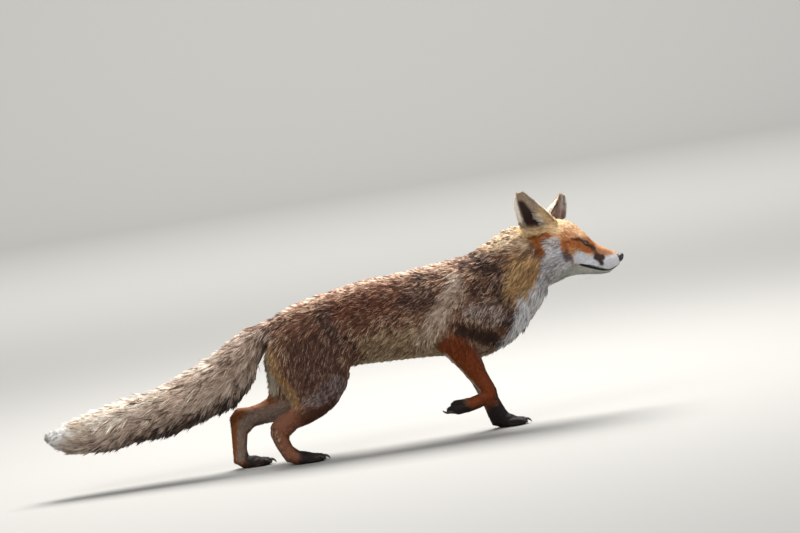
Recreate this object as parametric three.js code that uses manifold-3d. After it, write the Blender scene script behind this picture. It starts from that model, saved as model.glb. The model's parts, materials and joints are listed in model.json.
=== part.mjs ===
// Red fox, life-size, striding with its right forepaw lifted and folded.
// Millimetres: +X towards the nose, +Y to the fox's left, +Z up.
// The origin is on the floor, under the middle of the whole length.
// The solids reach out to the tips of the coat.

import * as THREE from "three";
import Module from "manifold-3d";
import { mergeVertices } from "three/addons/utils/BufferGeometryUtils.js";

const wasm = await Module();
wasm.setup();

// Driving dimensions

const GAP = 0.3;                // clear space between neighbouring solids
const AROUND = { body: 20, head: 20, limb: 12, tail: 14, nose: 10, ear: 10, toe: 5, claw: 5 };
const STEPS = { body: 2, limb: 1 };  // rings of a loft for each of its stations
const EAR_STEPS = 8;            // rings of an ear, from its base to its tip
const BODY_SQUARENESS = 2.2;    // 2 is an ellipse, more is fuller at the corners
const SPLIT = 0.006;            // half of a parting, as a share of the way to the next station
const SHORTEST_STEP = 0.08;     // least share of that way between two rings
const WORLD_HALF = 1500;        // half size of the block that trims what lies below the floor

const EYE_RADIUS = 8.5;
const EYE_DETAIL = 1;           // times that the eye's icosahedron is divided
const EYE_CENTRE = { x: 481.5, side: 20.4, z: 314.5 };

const TOE_PLACES = [-1.5, -0.5, 0.5, 1.5]; // in toe widths from the paw's middle
const TOE_SPREAD = 9.2;         // between the middle lines of neighbouring toes
const TOE_LEAD = 8;             // how far the middle toes reach past the outer ones
const TOE_LENGTH = 30;
const TOE_HEIGHT = 17;
const TOE_HALF_WIDTH = 6.2;
const CLAW_SET_BACK = 1;        // from the toe's tip to where the claw leaves the fur
const CLAW_SPREAD = 0.5;        // how far each claw is turned out, per toe from the middle

// Outlines. Each station of a loft has the two edge points of its section in
// side view, [x, z], then the section's middle line y, its half width, and
// how much wider its second edge is than its first.

const SPINE = [
  { edges: [[-112, 262], [-114, 226]], y: 0, half: 28, lean: 0 },
  { edges: [[-87, 282], [-97, 192]], y: 0, half: 50, lean: 0 },
  { edges: [[-50, 293], [-55, 172]], y: 0, half: 64, lean: 0.04 },
  { edges: [[2, 304], [0, 161]], y: 0, half: 66, lean: 0.04 },
  { edges: [[50, 311], [50, 162]], y: 0, half: 64, lean: 0.04 },
  { edges: [[100, 316], [100, 158]], y: 0, half: 69, lean: 0.06 },
  { edges: [[150, 319], [150, 155]], y: 0, half: 74, lean: 0.06 },
  { edges: [[203, 323], [206, 151]], y: 0, half: 76, lean: 0.05 },
  { edges: [[250, 328], [262, 142]], y: 0, half: 74, lean: 0.02 },
  { edges: [[280, 334], [302, 153]], y: 0, half: 71, lean: 0 },
  { edges: [[314, 349], [342, 174]], y: 0, half: 67, lean: 0 },
  { edges: [[340, 360], [373, 200]], y: 0, half: 63, lean: 0 },
  { edges: [[362, 365], [400, 231]], y: 0, half: 57, lean: 0.04 },
  { edges: [[385, 362], [416, 258]], y: 0, half: 48, lean: 0.06 },
  { edges: [[408, 345], [425, 282]], y: 0, half: 30, lean: 0 },
];
const SHOULDER_STATION = 9;     // where the neck begins

const HEAD = [
  { edges: [[380, 346], [404, 268]], y: 0, half: 34, lean: 0 },
  { edges: [[395, 363], [414, 254]], y: 0, half: 51, lean: 0.10 },
  { edges: [[420, 368], [431, 256]], y: 0, half: 57, lean: 0.16 },
  { edges: [[446, 365], [448, 259]], y: 0, half: 52, lean: 0.16 },
  { edges: [[466, 354], [463, 260]], y: 0, half: 42, lean: 0.12 },
  { edges: [[482, 338], [477, 258]], y: 0, half: 32, lean: 0.10 },
  { edges: [[494, 321], [490, 256]], y: 0, half: 24, lean: 0.14 },
  { edges: [[508, 308], [503, 254.5]], y: 0, half: 19.5, lean: 0.20 },
  { edges: [[526, 297], [517, 256]], y: 0, half: 17, lean: 0.20 },
  { edges: [[539, 288], [530, 262]], y: 0, half: 13.5, lean: 0.10 },
  { edges: [[545, 282], [539, 269]], y: 0, half: 7, lean: 0 },
];

const NOSE = [
  { edges: [[532, 289.5], [534, 268]], y: 0, half: 7, lean: 0 },
  { edges: [[539, 289], [540, 266]], y: 0, half: 9.5, lean: -0.15 },
  { edges: [[546, 285.5], [546, 267]], y: 0, half: 9.8, lean: -0.2 },
  { edges: [[550, 281], [549, 271]], y: 0, half: 6.5, lean: -0.2 },
];

// A toe, as parts of its length, height and half width.
const TOE = [
  { part: 0, top: 0.90, sole: 0.05, wide: 0.9 },
  { part: 0.45, top: 1.02, sole: -0.14, wide: 1.06 },
  { part: 0.85, top: 0.86, sole: -0.10, wide: 0.98 },
  { part: 1, top: 0.52, sole: 0.16, wide: 0.45 },
];

// A claw: a point of its back and of its palm side, forward and up from its root.
const CLAW = [
  { back: [-6, 12.6], palm: [-6, 7.8], half: 1.5 },
  { back: [3.6, 11.8], palm: [2, 7.2], half: 1.4 },
  { back: [8.6, 7.0], palm: [6.6, 4.6], half: 0.9 },
  { back: [9.8, 2.4], palm: [9.2, 2.0], half: 0.25 },
];

// The jaw is what lies under the mouth line and in front of the throat.
const MOUTH_LINE = [[462, 282], [470, 278.5], [478, 273.5], [491, 270], [503, 265], [514, 261.5], [545, 262]];
const JAW_BACK = [462, 240];
const JAW_FRONT = [545, 240];
const JAW_CUT_WIDTH = 120;       // wider than the head
const SAME_POINT = 1e-4;         // corners nearer than this are one

const TAIL = [
  { edges: [[-92, 276], [-104, 226]], y: 0, half: 24, lean: 0 },
  { edges: [[-128, 272], [-134, 202]], y: 0, half: 32, lean: 0 },
  { edges: [[-152, 261], [-152, 164]], y: 0, half: 38, lean: 0.05 },
  { edges: [[-182, 246], [-181, 133]], y: 1, half: 43, lean: 0.08 },
  { edges: [[-214, 229], [-222, 120]], y: 2, half: 45, lean: 0.08 },
  { edges: [[-264, 206], [-264, 100]], y: 3, half: 47, lean: 0.08 },
  { edges: [[-326, 181], [-314, 91]], y: 4, half: 45, lean: 0.05 },
  { edges: [[-385, 168], [-375, 85]], y: 5, half: 42, lean: 0 },
  { edges: [[-442, 156], [-430, 79]], y: 6, half: 39, lean: 0 },
  { edges: [[-490, 142], [-480, 75]], y: 7, half: 33, lean: 0 },
  { edges: [[-520, 132], [-514, 84]], y: 8, half: 24, lean: 0 },
  { edges: [[-542, 122], [-538, 98]], y: 8, half: 12, lean: 0 },
  { edges: [[-549, 114], [-548, 106]], y: 8, half: 4, lean: 0 },
];
const TAIL_TIP_STATION = 9.3;   // where the white tip begins

const RIGHT_HIND = {
  stations: [
    { edges: [[-20, 278], [-70, 272]], y: -38, half: 16, lean: 0 },
    { edges: [[22, 246], [-110, 246]], y: -43, half: 29, lean: 0 },
    { edges: [[36, 205], [-126, 207]], y: -45, half: 33, lean: 0 },
    { edges: [[31, 170], [-119, 174]], y: -46, half: 32, lean: 0 },
    { edges: [[19, 138], [-106, 146]], y: -46, half: 28, lean: 0 },
    { edges: [[-1, 109], [-96, 124]], y: -45, half: 23, lean: 0 },
    { edges: [[-30, 86], [-97, 108]], y: -44, half: 18, lean: 0 },
    { edges: [[-60, 73], [-106, 99]], y: -43, half: 15, lean: 0 },
    { edges: [[-84, 68], [-120, 96]], y: -42, half: 13, lean: 0 },
    { edges: [[-102, 58], [-138, 83]], y: -41, half: 12.5, lean: 0 },
    { edges: [[-108, 50], [-141, 62]], y: -40, half: 12.5, lean: 0 },
    { edges: [[-104, 36], [-135, 39]], y: -40, half: 13, lean: 0 },
    { edges: [[-95, 26], [-122, 11]], y: -40, half: 15, lean: 0 },
    { edges: [[-82, 22], [-98, -4]], y: -40, half: 18, lean: 0 },
    { edges: [[-70, 18], [-74, -3]], y: -40, half: 16, lean: 0 },
  ],
  joints: [5.4, 9.6],
  names: ["thigh_right", "shank_right", "hind_foot_right"],
  toes: { root: [-86, 0], heading: 0, y: -40 },
};

const LEFT_HIND = {
  stations: [
    { edges: [[-20, 278], [-70, 272]], y: 38, half: 16, lean: 0 },
    { edges: [[14, 246], [-110, 246]], y: 43, half: 29, lean: 0 },
    { edges: [[18, 205], [-129, 212]], y: 45, half: 33, lean: 0 },
    { edges: [[7, 166], [-131, 184]], y: 46, half: 32, lean: 0 },
    { edges: [[-14, 128], [-131, 160]], y: 46, half: 28, lean: 0 },
    { edges: [[-42, 95], [-131, 139]], y: 45, half: 23, lean: 0 },
    { edges: [[-75, 78], [-138, 124]], y: 44, half: 18.5, lean: 0 },
    { edges: [[-108, 75], [-152, 117]], y: 43, half: 15.5, lean: 0 },
    { edges: [[-140, 76], [-172, 113]], y: 42, half: 13, lean: 0 },
    { edges: [[-164, 75], [-196, 115]], y: 41, half: 12.5, lean: 0 },
    { edges: [[-180, 67], [-211, 104]], y: 40, half: 12.5, lean: 0 },
    { edges: [[-186, 52], [-213, 76]], y: 40, half: 12, lean: 0 },
    { edges: [[-190, 34], [-217, 43]], y: 40, half: 12.5, lean: 0 },
    { edges: [[-189, 22], [-219, 14]], y: 40, half: 15, lean: 0 },
    { edges: [[-179, 21], [-199, -4]], y: 40, half: 18, lean: 0 },
    { edges: [[-169, 17], [-175, -3]], y: 40, half: 16, lean: 0 },
  ],
  joints: [5.4, 10.4],
  names: ["thigh_left", "shank_left", "hind_foot_left"],
  toes: { root: [-187, 0], heading: 0, y: 40 },
};

const RIGHT_FORE = {
  stations: [
    { edges: [[258, 262], [222, 266]], y: -44, half: 12, lean: 0 },
    { edges: [[268, 220], [198, 226]], y: -50, half: 24, lean: 0 },
    { edges: [[262, 183], [183, 194]], y: -51, half: 24, lean: 0 },
    { edges: [[256, 163], [184, 173]], y: -49, half: 20.5, lean: 0 },
    { edges: [[259, 146], [197, 154]], y: -47, half: 17, lean: 0 },
    { edges: [[265, 125], [213, 132]], y: -45, half: 14.5, lean: 0 },
    { edges: [[272, 105], [229, 108]], y: -43, half: 13, lean: 0 },
    { edges: [[279, 86], [243, 89]], y: -42, half: 12.5, lean: 0 },
    { edges: [[281, 70], [250, 80]], y: -41, half: 13, lean: 0 },
    { edges: [[269, 59], [245, 77]], y: -41, half: 13, lean: 0 },
    { edges: [[248, 51], [232, 73]], y: -41, half: 13, lean: 0 },
    { edges: [[226, 46], [216, 72]], y: -41, half: 16, lean: 0 },
    { edges: [[206, 44], [202, 72]], y: -41, half: 17, lean: 0 },
    { edges: [[195, 47], [194, 68]], y: -41, half: 14, lean: 0 },
  ],
  joints: [3.3, 8.3],
  names: ["shoulder_right", "forearm_right", "forepaw_right"],
  toes: { root: [221, 68], heading: 192, y: -41 },
};

const LEFT_FORE = {
  stations: [
    { edges: [[256, 262], [220, 266]], y: 44, half: 12, lean: 0 },
    { edges: [[264, 220], [195, 226]], y: 50, half: 24, lean: 0 },
    { edges: [[262, 183], [186, 194]], y: 51, half: 24, lean: 0 },
    { edges: [[262, 161], [195, 172]], y: 48, half: 20, lean: 0 },
    { edges: [[264, 140], [208, 149]], y: 45, half: 16.5, lean: 0 },
    { edges: [[268, 112], [225, 117]], y: 43, half: 14, lean: 0 },
    { edges: [[275, 83], [239, 84]], y: 41, half: 13, lean: 0 },
    { edges: [[283, 57], [249, 55]], y: 40, half: 13, lean: 0 },
    { edges: [[290, 38], [256, 30]], y: 40, half: 13, lean: 0 },
    { edges: [[296, 26], [262, 9]], y: 40, half: 16, lean: 0 },
    { edges: [[304, 21], [282, -4]], y: 40, half: 18, lean: 0 },
    { edges: [[310, 17], [302, -3]], y: 40, half: 16, lean: 0 },
  ],
  joints: [3.3, 7],
  names: ["shoulder_left", "forearm_left", "forepaw_left"],
  toes: { root: [290, 0], heading: 0, y: 40 },
};

// Ears. Each level has its middle point, half width and half depth. The width
// runs along `across` and the hollow opens along `facing`, both level.
const RIGHT_EAR = {
  across: [0.94, 0.34, 0],
  facing: [0.34, -0.94, 0],
  levels: [
    { at: [413, -26, 346], half: 44, deep: 14 },
    { at: [403, -33, 365], half: 38, deep: 14 },
    { at: [392.5, -41, 386], half: 32, deep: 12 },
    { at: [385, -48, 403], half: 25, deep: 9.5 },
    { at: [378.5, -54, 418], half: 16.5, deep: 6.5 },
    { at: [377, -57, 428.5], half: 8, deep: 3.5 },
  ],
};
const LEFT_EAR = {
  across: [0.55, 0.835, 0],
  facing: [0.835, -0.55, 0],
  levels: [
    { at: [423, 24, 343], half: 34, deep: 16 },
    { at: [428, 31, 362], half: 31, deep: 15 },
    { at: [438, 40, 382], half: 25, deep: 12 },
    { at: [448, 48, 398], half: 14, deep: 8 },
    { at: [454, 54, 408.5], half: 5, deep: 3.5 },
  ],
};
const HOLLOW = { shift: 0.95, wide: 0.82, deep: 1.4 };   // as parts of the ear's own sizes

// Solids

// One closed solid from rings of points, its ends closed with fans.
function skin(rings) {
  const count = rings[0].length;
  const points = rings.flat();
  const start = points.length;
  const ends = [rings[0], rings[rings.length - 1]];
  for (const end of ends) {
    const middle = new THREE.Vector3();
    end.forEach((point) => middle.add(point));
    points.push(middle.divideScalar(count));
  }
  const faces = [];
  for (let row = 0; row < rings.length - 1; row += 1) {
    for (let i = 0; i < count; i += 1) {
      const a = row * count + i;
      const b = row * count + (i + 1) % count;
      faces.push([a, b, b + count], [a, b + count, a + count]);
    }
  }
  const last = (rings.length - 1) * count;
  for (let i = 0; i < count; i += 1) {
    const next = (i + 1) % count;
    faces.push([start, next, i], [start + 1, last + i, last + next]);
  }
  return solid(points, faces);
}

// A manifold from points and triangles, turned so that its faces point out.
function solid(points, faces) {
  let volume = 0;
  for (const [a, b, c] of faces) {
    volume += points[a].dot(new THREE.Vector3().crossVectors(points[b], points[c]));
  }
  const outward = volume > 0 ? faces : faces.map(([a, b, c]) => [a, c, b]);
  return new wasm.Manifold(new wasm.Mesh({
    numProp: 3,
    vertProperties: new Float32Array(points.flatMap((point) => point.toArray())),
    triVerts: new Uint32Array(outward.flat()),
  }));
}

// A manifold from one of the library's closed geometries.
function fromGeometry(geometry) {
  geometry.deleteAttribute("normal");
  geometry.deleteAttribute("uv");
  const merged = mergeVertices(geometry, SAME_POINT);
  return new wasm.Manifold(new wasm.Mesh({
    numProp: 3,
    vertProperties: new Float32Array(merged.attributes.position.array),
    triVerts: new Uint32Array(merged.index.array),
  }));
}

// Points around an oval with the given middle and half-axis vectors.
function oval(middle, side, up, { around, lean = 0, squareness = 2 }) {
  const power = 2 / squareness;
  const points = [];
  for (let i = 0; i < around; i += 1) {
    const angle = (i / around) * 2 * Math.PI;
    const across = Math.sign(Math.cos(angle)) * Math.abs(Math.cos(angle)) ** power;
    const along = Math.sign(Math.sin(angle)) * Math.abs(Math.sin(angle)) ** power;
    const point = middle.clone();
    point.addScaledVector(side, across * (1 - lean * along));
    point.addScaledVector(up, along);
    points.push(point);
  }
  return points;
}

// A loft through a list of stations, or the stretch of it between two of them,
// which stops half a parting short of each. A grown one reaches as far past it.
function loft(stations, options) {
  const last = stations.length - 1;
  const { from = 0, to = last, steps = STEPS.body, grow = 0, ...shape } = options;
  const reach = grow > 0 ? SPLIT : -SPLIT;
  const smooth = (pick) => new THREE.CatmullRomCurve3(stations.map(pick), false, "catmullrom", 0.5);
  const first = smooth(({ edges: [[x, z]] }) => new THREE.Vector3(x, 0, z));
  const second = smooth(({ edges: [, [x, z]] }) => new THREE.Vector3(x, 0, z));
  const girth = smooth(({ y, half, lean }) => new THREE.Vector3(y, half, lean));
  const places = [from === 0 ? from : from - reach];
  for (let step = Math.ceil(from * steps); step <= to * steps; step += 1) {
    if (step / steps - from > SHORTEST_STEP && to - step / steps > SHORTEST_STEP) {
      places.push(step / steps);
    }
  }
  places.push(to === last ? to : to + reach);
  const rings = places.map((place) => {
    const t = place / last;
    const a = first.getPoint(t);
    const b = second.getPoint(t);
    const { x: y, y: half, z: lean } = girth.getPoint(t);
    const middle = a.clone().add(b).multiplyScalar(0.5).setY(y);
    const up = a.clone().sub(b).multiplyScalar(0.5);
    up.setLength(up.length() + grow);
    return oval(middle, new THREE.Vector3(0, half + grow, 0), up, { ...shape, lean });
  });
  return skin(rings);
}

// Everything above the floor.
function aboveFloor(shape) {
  const block = new THREE.BoxGeometry(2 * WORLD_HALF, 2 * WORLD_HALF, 2 * WORLD_HALF);
  block.translate(0, 0, -WORLD_HALF);
  return shape.subtract(fromGeometry(block));
}

// Where one solid has to leave room for another, the other is this much bigger.
const clear = { grow: GAP };

// A point of a toe in side view, from its distances along and above the paw's sole.
function placedToe({ root, heading }, u, v) {
  const turn = THREE.MathUtils.degToRad(heading);
  const x = root[0] + u * Math.cos(turn) - v * Math.sin(turn);
  const z = root[1] + u * Math.sin(turn) + v * Math.cos(turn);
  return [x, z];
}

// The four toes of a paw, with their claws, as station lists.
function toeStations(paw) {
  return TOE_PLACES.map((place) => {
    const lead = Math.abs(place) < 1 ? TOE_LEAD : 0;
    const y = paw.y + place * TOE_SPREAD;
    const toe = TOE.map(({ part, top, sole, wide }) => ({
      edges: [top, sole].map((v) => placedToe(paw, lead + part * TOE_LENGTH, v * TOE_HEIGHT)),
      y,
      half: wide * TOE_HALF_WIDTH,
      lean: 0,
    }));
    const root = lead + TOE_LENGTH - CLAW_SET_BACK;
    const claw = CLAW.map(({ back, palm, half }) => ({
      edges: [back, palm].map(([u, v]) => placedToe(paw, root + u, v)),
      y: y + place * CLAW_SPREAD,
      half,
      lean: 0,
    }));
    return { toe, claw };
  });
}

// Materials

function coat(colour) {
  return new THREE.MeshStandardMaterial({ color: colour, roughness: 0.9, metalness: 0 });
}

const MATERIALS = {
  back: coat(0x8a6648),
  neck: coat(0xa87b52),
  face: coat(0xc07a44),
  chin: coat(0xd8d4cc),
  ear: coat(0x9c7a5c),
  tail: coat(0x94795f),
  white: coat(0xe8e0d4),
  leg: coat(0x96502a),
  sock: coat(0x2b2421),
  eye: new THREE.MeshStandardMaterial({ color: 0x3a2412, roughness: 0.1, metalness: 0 }),
  nose: new THREE.MeshStandardMaterial({ color: 0x15120f, roughness: 0.35, metalness: 0 }),
  claw: new THREE.MeshStandardMaterial({ color: 0x1e1a17, roughness: 0.4, metalness: 0 }),
};

// The fox

const fox = new THREE.Group();

function addNode(name, shape, material) {
  const { vertProperties, triVerts } = shape.getMesh();
  const geometry = new THREE.BufferGeometry();
  geometry.setAttribute("position", new THREE.BufferAttribute(new Float32Array(vertProperties), 3));
  geometry.setIndex(new THREE.BufferAttribute(new Uint32Array(triVerts), 1));
  geometry.computeVertexNormals();
  const mesh = new THREE.Mesh(geometry, material);
  mesh.name = name;
  fox.add(mesh);
}

const LEGS = [RIGHT_HIND, LEFT_HIND, RIGHT_FORE, LEFT_FORE];
const bodyShape = { around: AROUND.body, squareness: BODY_SQUARENESS };
const limbShape = { around: AROUND.limb, steps: STEPS.limb };
const headShape = { around: AROUND.head, squareness: BODY_SQUARENESS };

// What is left of a solid once all four legs have their room.
function clearOfLegs(shape) {
  const pieces = LEGS.flatMap((leg) => legPieces(leg, clear));
  return pieces.reduce((left, piece) => left.subtract(piece), shape);
}

function addTrunkAndNeck() {
  const trunk = clearOfLegs(loft(SPINE, { ...bodyShape, to: SHOULDER_STATION }));
  const neckBody = loft(SPINE, { ...bodyShape, from: SHOULDER_STATION });
  addNode("trunk", trunk, MATERIALS.back);
  addNode("neck", neckBody.subtract(loft(HEAD, { ...headShape, ...clear })), MATERIALS.neck);
}

function eyeball(side, grow) {
  const ball = new THREE.IcosahedronGeometry(EYE_RADIUS + grow, EYE_DETAIL);
  ball.translate(EYE_CENTRE.x, side * EYE_CENTRE.side, EYE_CENTRE.z);
  return fromGeometry(ball);
}

// A block that holds the jaw, with its upper and rear faces moved by `inset`.
function jawBlock(inset) {
  const outline = new THREE.Shape();
  outline.moveTo(JAW_FRONT[0], JAW_FRONT[1]);
  for (const [x, z] of [...MOUTH_LINE].reverse()) {
    outline.lineTo(x + inset, z - inset);
  }
  outline.lineTo(JAW_BACK[0] + inset, JAW_BACK[1]);
  outline.closePath();
  const block = new THREE.ExtrudeGeometry(outline, { depth: JAW_CUT_WIDTH, bevelEnabled: false });
  block.rotateX(Math.PI / 2);
  block.translate(0, JAW_CUT_WIDTH / 2, 0);
  return fromGeometry(block);
}

function addHead() {
  const whole = loft(HEAD, headShape).subtract(loft(NOSE, { around: AROUND.nose, ...clear }));
  const upper = whole.subtract(jawBlock(0)).subtract(eyeball(1, GAP)).subtract(eyeball(-1, GAP));
  addNode("head", upper, MATERIALS.face);
  addNode("lower_jaw", whole.intersect(jawBlock(GAP)), MATERIALS.chin);
  addNode("nose", loft(NOSE, { around: AROUND.nose }), MATERIALS.nose);
  addNode("eye_right", eyeball(-1, 0), MATERIALS.eye);
  addNode("eye_left", eyeball(1, 0), MATERIALS.eye);
}

function earRings({ across, facing, levels }, { shift = 0, wide = 1, deep = 1, from = 0 }) {
  const middle = new THREE.CatmullRomCurve3(levels.map(({ at }) => new THREE.Vector3(...at)));
  const size = new THREE.CatmullRomCurve3(levels.map((level) => new THREE.Vector3(level.half, level.deep, 0)));
  const steps = EAR_STEPS;
  const rings = [];
  for (let step = from; step <= steps; step += 1) {
    const { x: halfWidth, y: halfDepth } = size.getPoint(step / steps);
    const side = new THREE.Vector3(...across).multiplyScalar(halfWidth * wide);
    const out = new THREE.Vector3(...facing);
    const centre = middle.getPoint(step / steps).addScaledVector(out, halfDepth * shift);
    rings.push(oval(centre, side, out.multiplyScalar(halfDepth * deep), { around: AROUND.ear }));
  }
  return rings;
}

function addEar(name, ear) {
  const hollow = skin(earRings(ear, { ...HOLLOW, from: 1 }));
  const shape = skin(earRings(ear, {}))
    .subtract(hollow)
    .subtract(loft(HEAD, { ...headShape, ...clear }))
    .subtract(loft(SPINE, { ...bodyShape, ...clear }));
  addNode(name, shape, MATERIALS.ear);
}

function addTail() {
  const shape = { around: AROUND.tail, steps: STEPS.limb };
  const brush = loft(TAIL, { ...shape, to: TAIL_TIP_STATION })
    .subtract(loft(SPINE, { ...bodyShape, ...clear }));
  addNode("tail", clearOfLegs(brush), MATERIALS.tail);
  addNode("tail_tip", loft(TAIL, { ...shape, from: TAIL_TIP_STATION }), MATERIALS.white);
}

// The upper and lower lengths of a leg, and its foot without toes.
function legPieces({ stations, joints: [upperJoint, lowerJoint] }, options = {}) {
  return [
    loft(stations, { ...limbShape, ...options, to: upperJoint }),
    loft(stations, { ...limbShape, ...options, from: upperJoint, to: lowerJoint }),
    loft(stations, { ...limbShape, ...options, from: lowerJoint }),
  ];
}

function addLeg(leg) {
  const [upperName, lowerName, footName] = leg.names;
  const [upper, lower, bareFoot] = legPieces(leg);
  let foot = bareFoot;
  const claws = [];
  for (const { toe, claw } of toeStations(leg.toes)) {
    foot = foot.add(loft(toe, { around: AROUND.toe, steps: STEPS.limb }));
    claws.push(claw);
  }
  for (const claw of claws) {
    foot = foot.subtract(loft(claw, { around: AROUND.claw, steps: STEPS.limb, ...clear }));
  }
  addNode(upperName, upper, MATERIALS.leg);
  addNode(lowerName, lower, MATERIALS.leg);
  addNode(footName, aboveFloor(foot), MATERIALS.sock);
  claws.forEach((claw, index) => {
    const name = `claw_${footName}_${index + 1}`;
    addNode(name, loft(claw, { around: AROUND.claw, steps: STEPS.limb }), MATERIALS.claw);
  });
}

addTrunkAndNeck();
addHead();
addEar("ear_right", RIGHT_EAR);
addEar("ear_left", LEFT_EAR);
addTail();
LEGS.forEach(addLeg);

export default fox;
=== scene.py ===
"""A life-size red fox, striding with its right forepaw lifted.

One skin lies under the coat. The coat is made of tapered locks that follow
the lie of the hair. Eyes, eyelids, nose, whiskers and claws are their own
pieces; the lips are modelled and painted on the skin. Lengths in the tables
are millimetres, +X towards the nose, +Y to the fox's left and +Z up; the
meshes are in metres.
"""

import json
import logging
import math
from collections.abc import Iterator
from contextlib import contextmanager
from dataclasses import dataclass, field, fields
from enum import Enum

import bmesh
import bpy
import numpy as np
from mathutils import Matrix, Vector

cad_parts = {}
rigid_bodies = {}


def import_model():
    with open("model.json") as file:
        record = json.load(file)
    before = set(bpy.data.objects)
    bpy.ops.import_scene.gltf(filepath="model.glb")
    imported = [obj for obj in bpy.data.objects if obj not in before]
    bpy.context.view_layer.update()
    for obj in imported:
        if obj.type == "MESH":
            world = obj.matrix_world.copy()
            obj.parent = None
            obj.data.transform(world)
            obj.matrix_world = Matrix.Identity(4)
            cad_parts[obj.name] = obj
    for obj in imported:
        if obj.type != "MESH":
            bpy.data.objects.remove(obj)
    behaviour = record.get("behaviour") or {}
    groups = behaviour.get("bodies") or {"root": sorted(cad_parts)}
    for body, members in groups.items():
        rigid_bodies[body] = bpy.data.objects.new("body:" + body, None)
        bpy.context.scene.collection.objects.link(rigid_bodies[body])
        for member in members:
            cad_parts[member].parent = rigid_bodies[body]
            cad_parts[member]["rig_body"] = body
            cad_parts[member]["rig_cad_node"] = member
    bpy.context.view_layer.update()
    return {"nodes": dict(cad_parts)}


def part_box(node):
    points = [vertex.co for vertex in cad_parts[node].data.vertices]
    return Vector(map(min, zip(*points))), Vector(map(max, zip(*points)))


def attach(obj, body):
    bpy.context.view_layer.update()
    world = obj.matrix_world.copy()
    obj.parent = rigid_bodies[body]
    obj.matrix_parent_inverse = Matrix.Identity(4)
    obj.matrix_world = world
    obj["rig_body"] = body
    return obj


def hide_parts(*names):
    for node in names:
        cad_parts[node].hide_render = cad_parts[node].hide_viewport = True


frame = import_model()

LOG = logging.getLogger("red_fox")
MM = 0.001
COLOUR_LAYER = "Fur"
BAKE_MAP = "OFBake"
NOSE_FRONT = 540.0  # where the bare nose begins, in millimetres

Array = np.ndarray
Draw = np.random.Generator
Faces = list[tuple[int, ...]]
Material = bpy.types.Material
Piece = bpy.types.Object
Socket = bpy.types.NodeSocket
Triple = tuple[float, float, float]


# ---------------------------------------------------------------- colours


def srgb(red: float, green: float, blue: float) -> Array:
    """A display colour of 0 to 255 values as a linear one of 0 to 1."""
    share = np.array([red, green, blue], float) / 255
    return np.where(share <= 0.04045, share / 12.92, ((share + 0.055) / 1.055) ** 2.4)


@dataclass(frozen=True)
class Tone:
    """The colours of the hair at one place.

    Attributes:
        body: Colour of most of the lock's length.
        pale: Tip colour of the pale-tipped locks.
        dark: Tip colour of the dark-tipped locks.
        pale_share: Share of locks with pale tips.
        dark_share: Share of locks with dark tips.
    """

    body: Triple
    pale: Triple
    dark: Triple
    pale_share: float
    dark_share: float

    def numbers(self) -> Array:
        """The tone as eleven numbers, colours first."""
        colours = [srgb(*self.body), srgb(*self.pale), srgb(*self.dark)]
        return np.concatenate([*colours, [self.pale_share, self.dark_share]])


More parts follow.
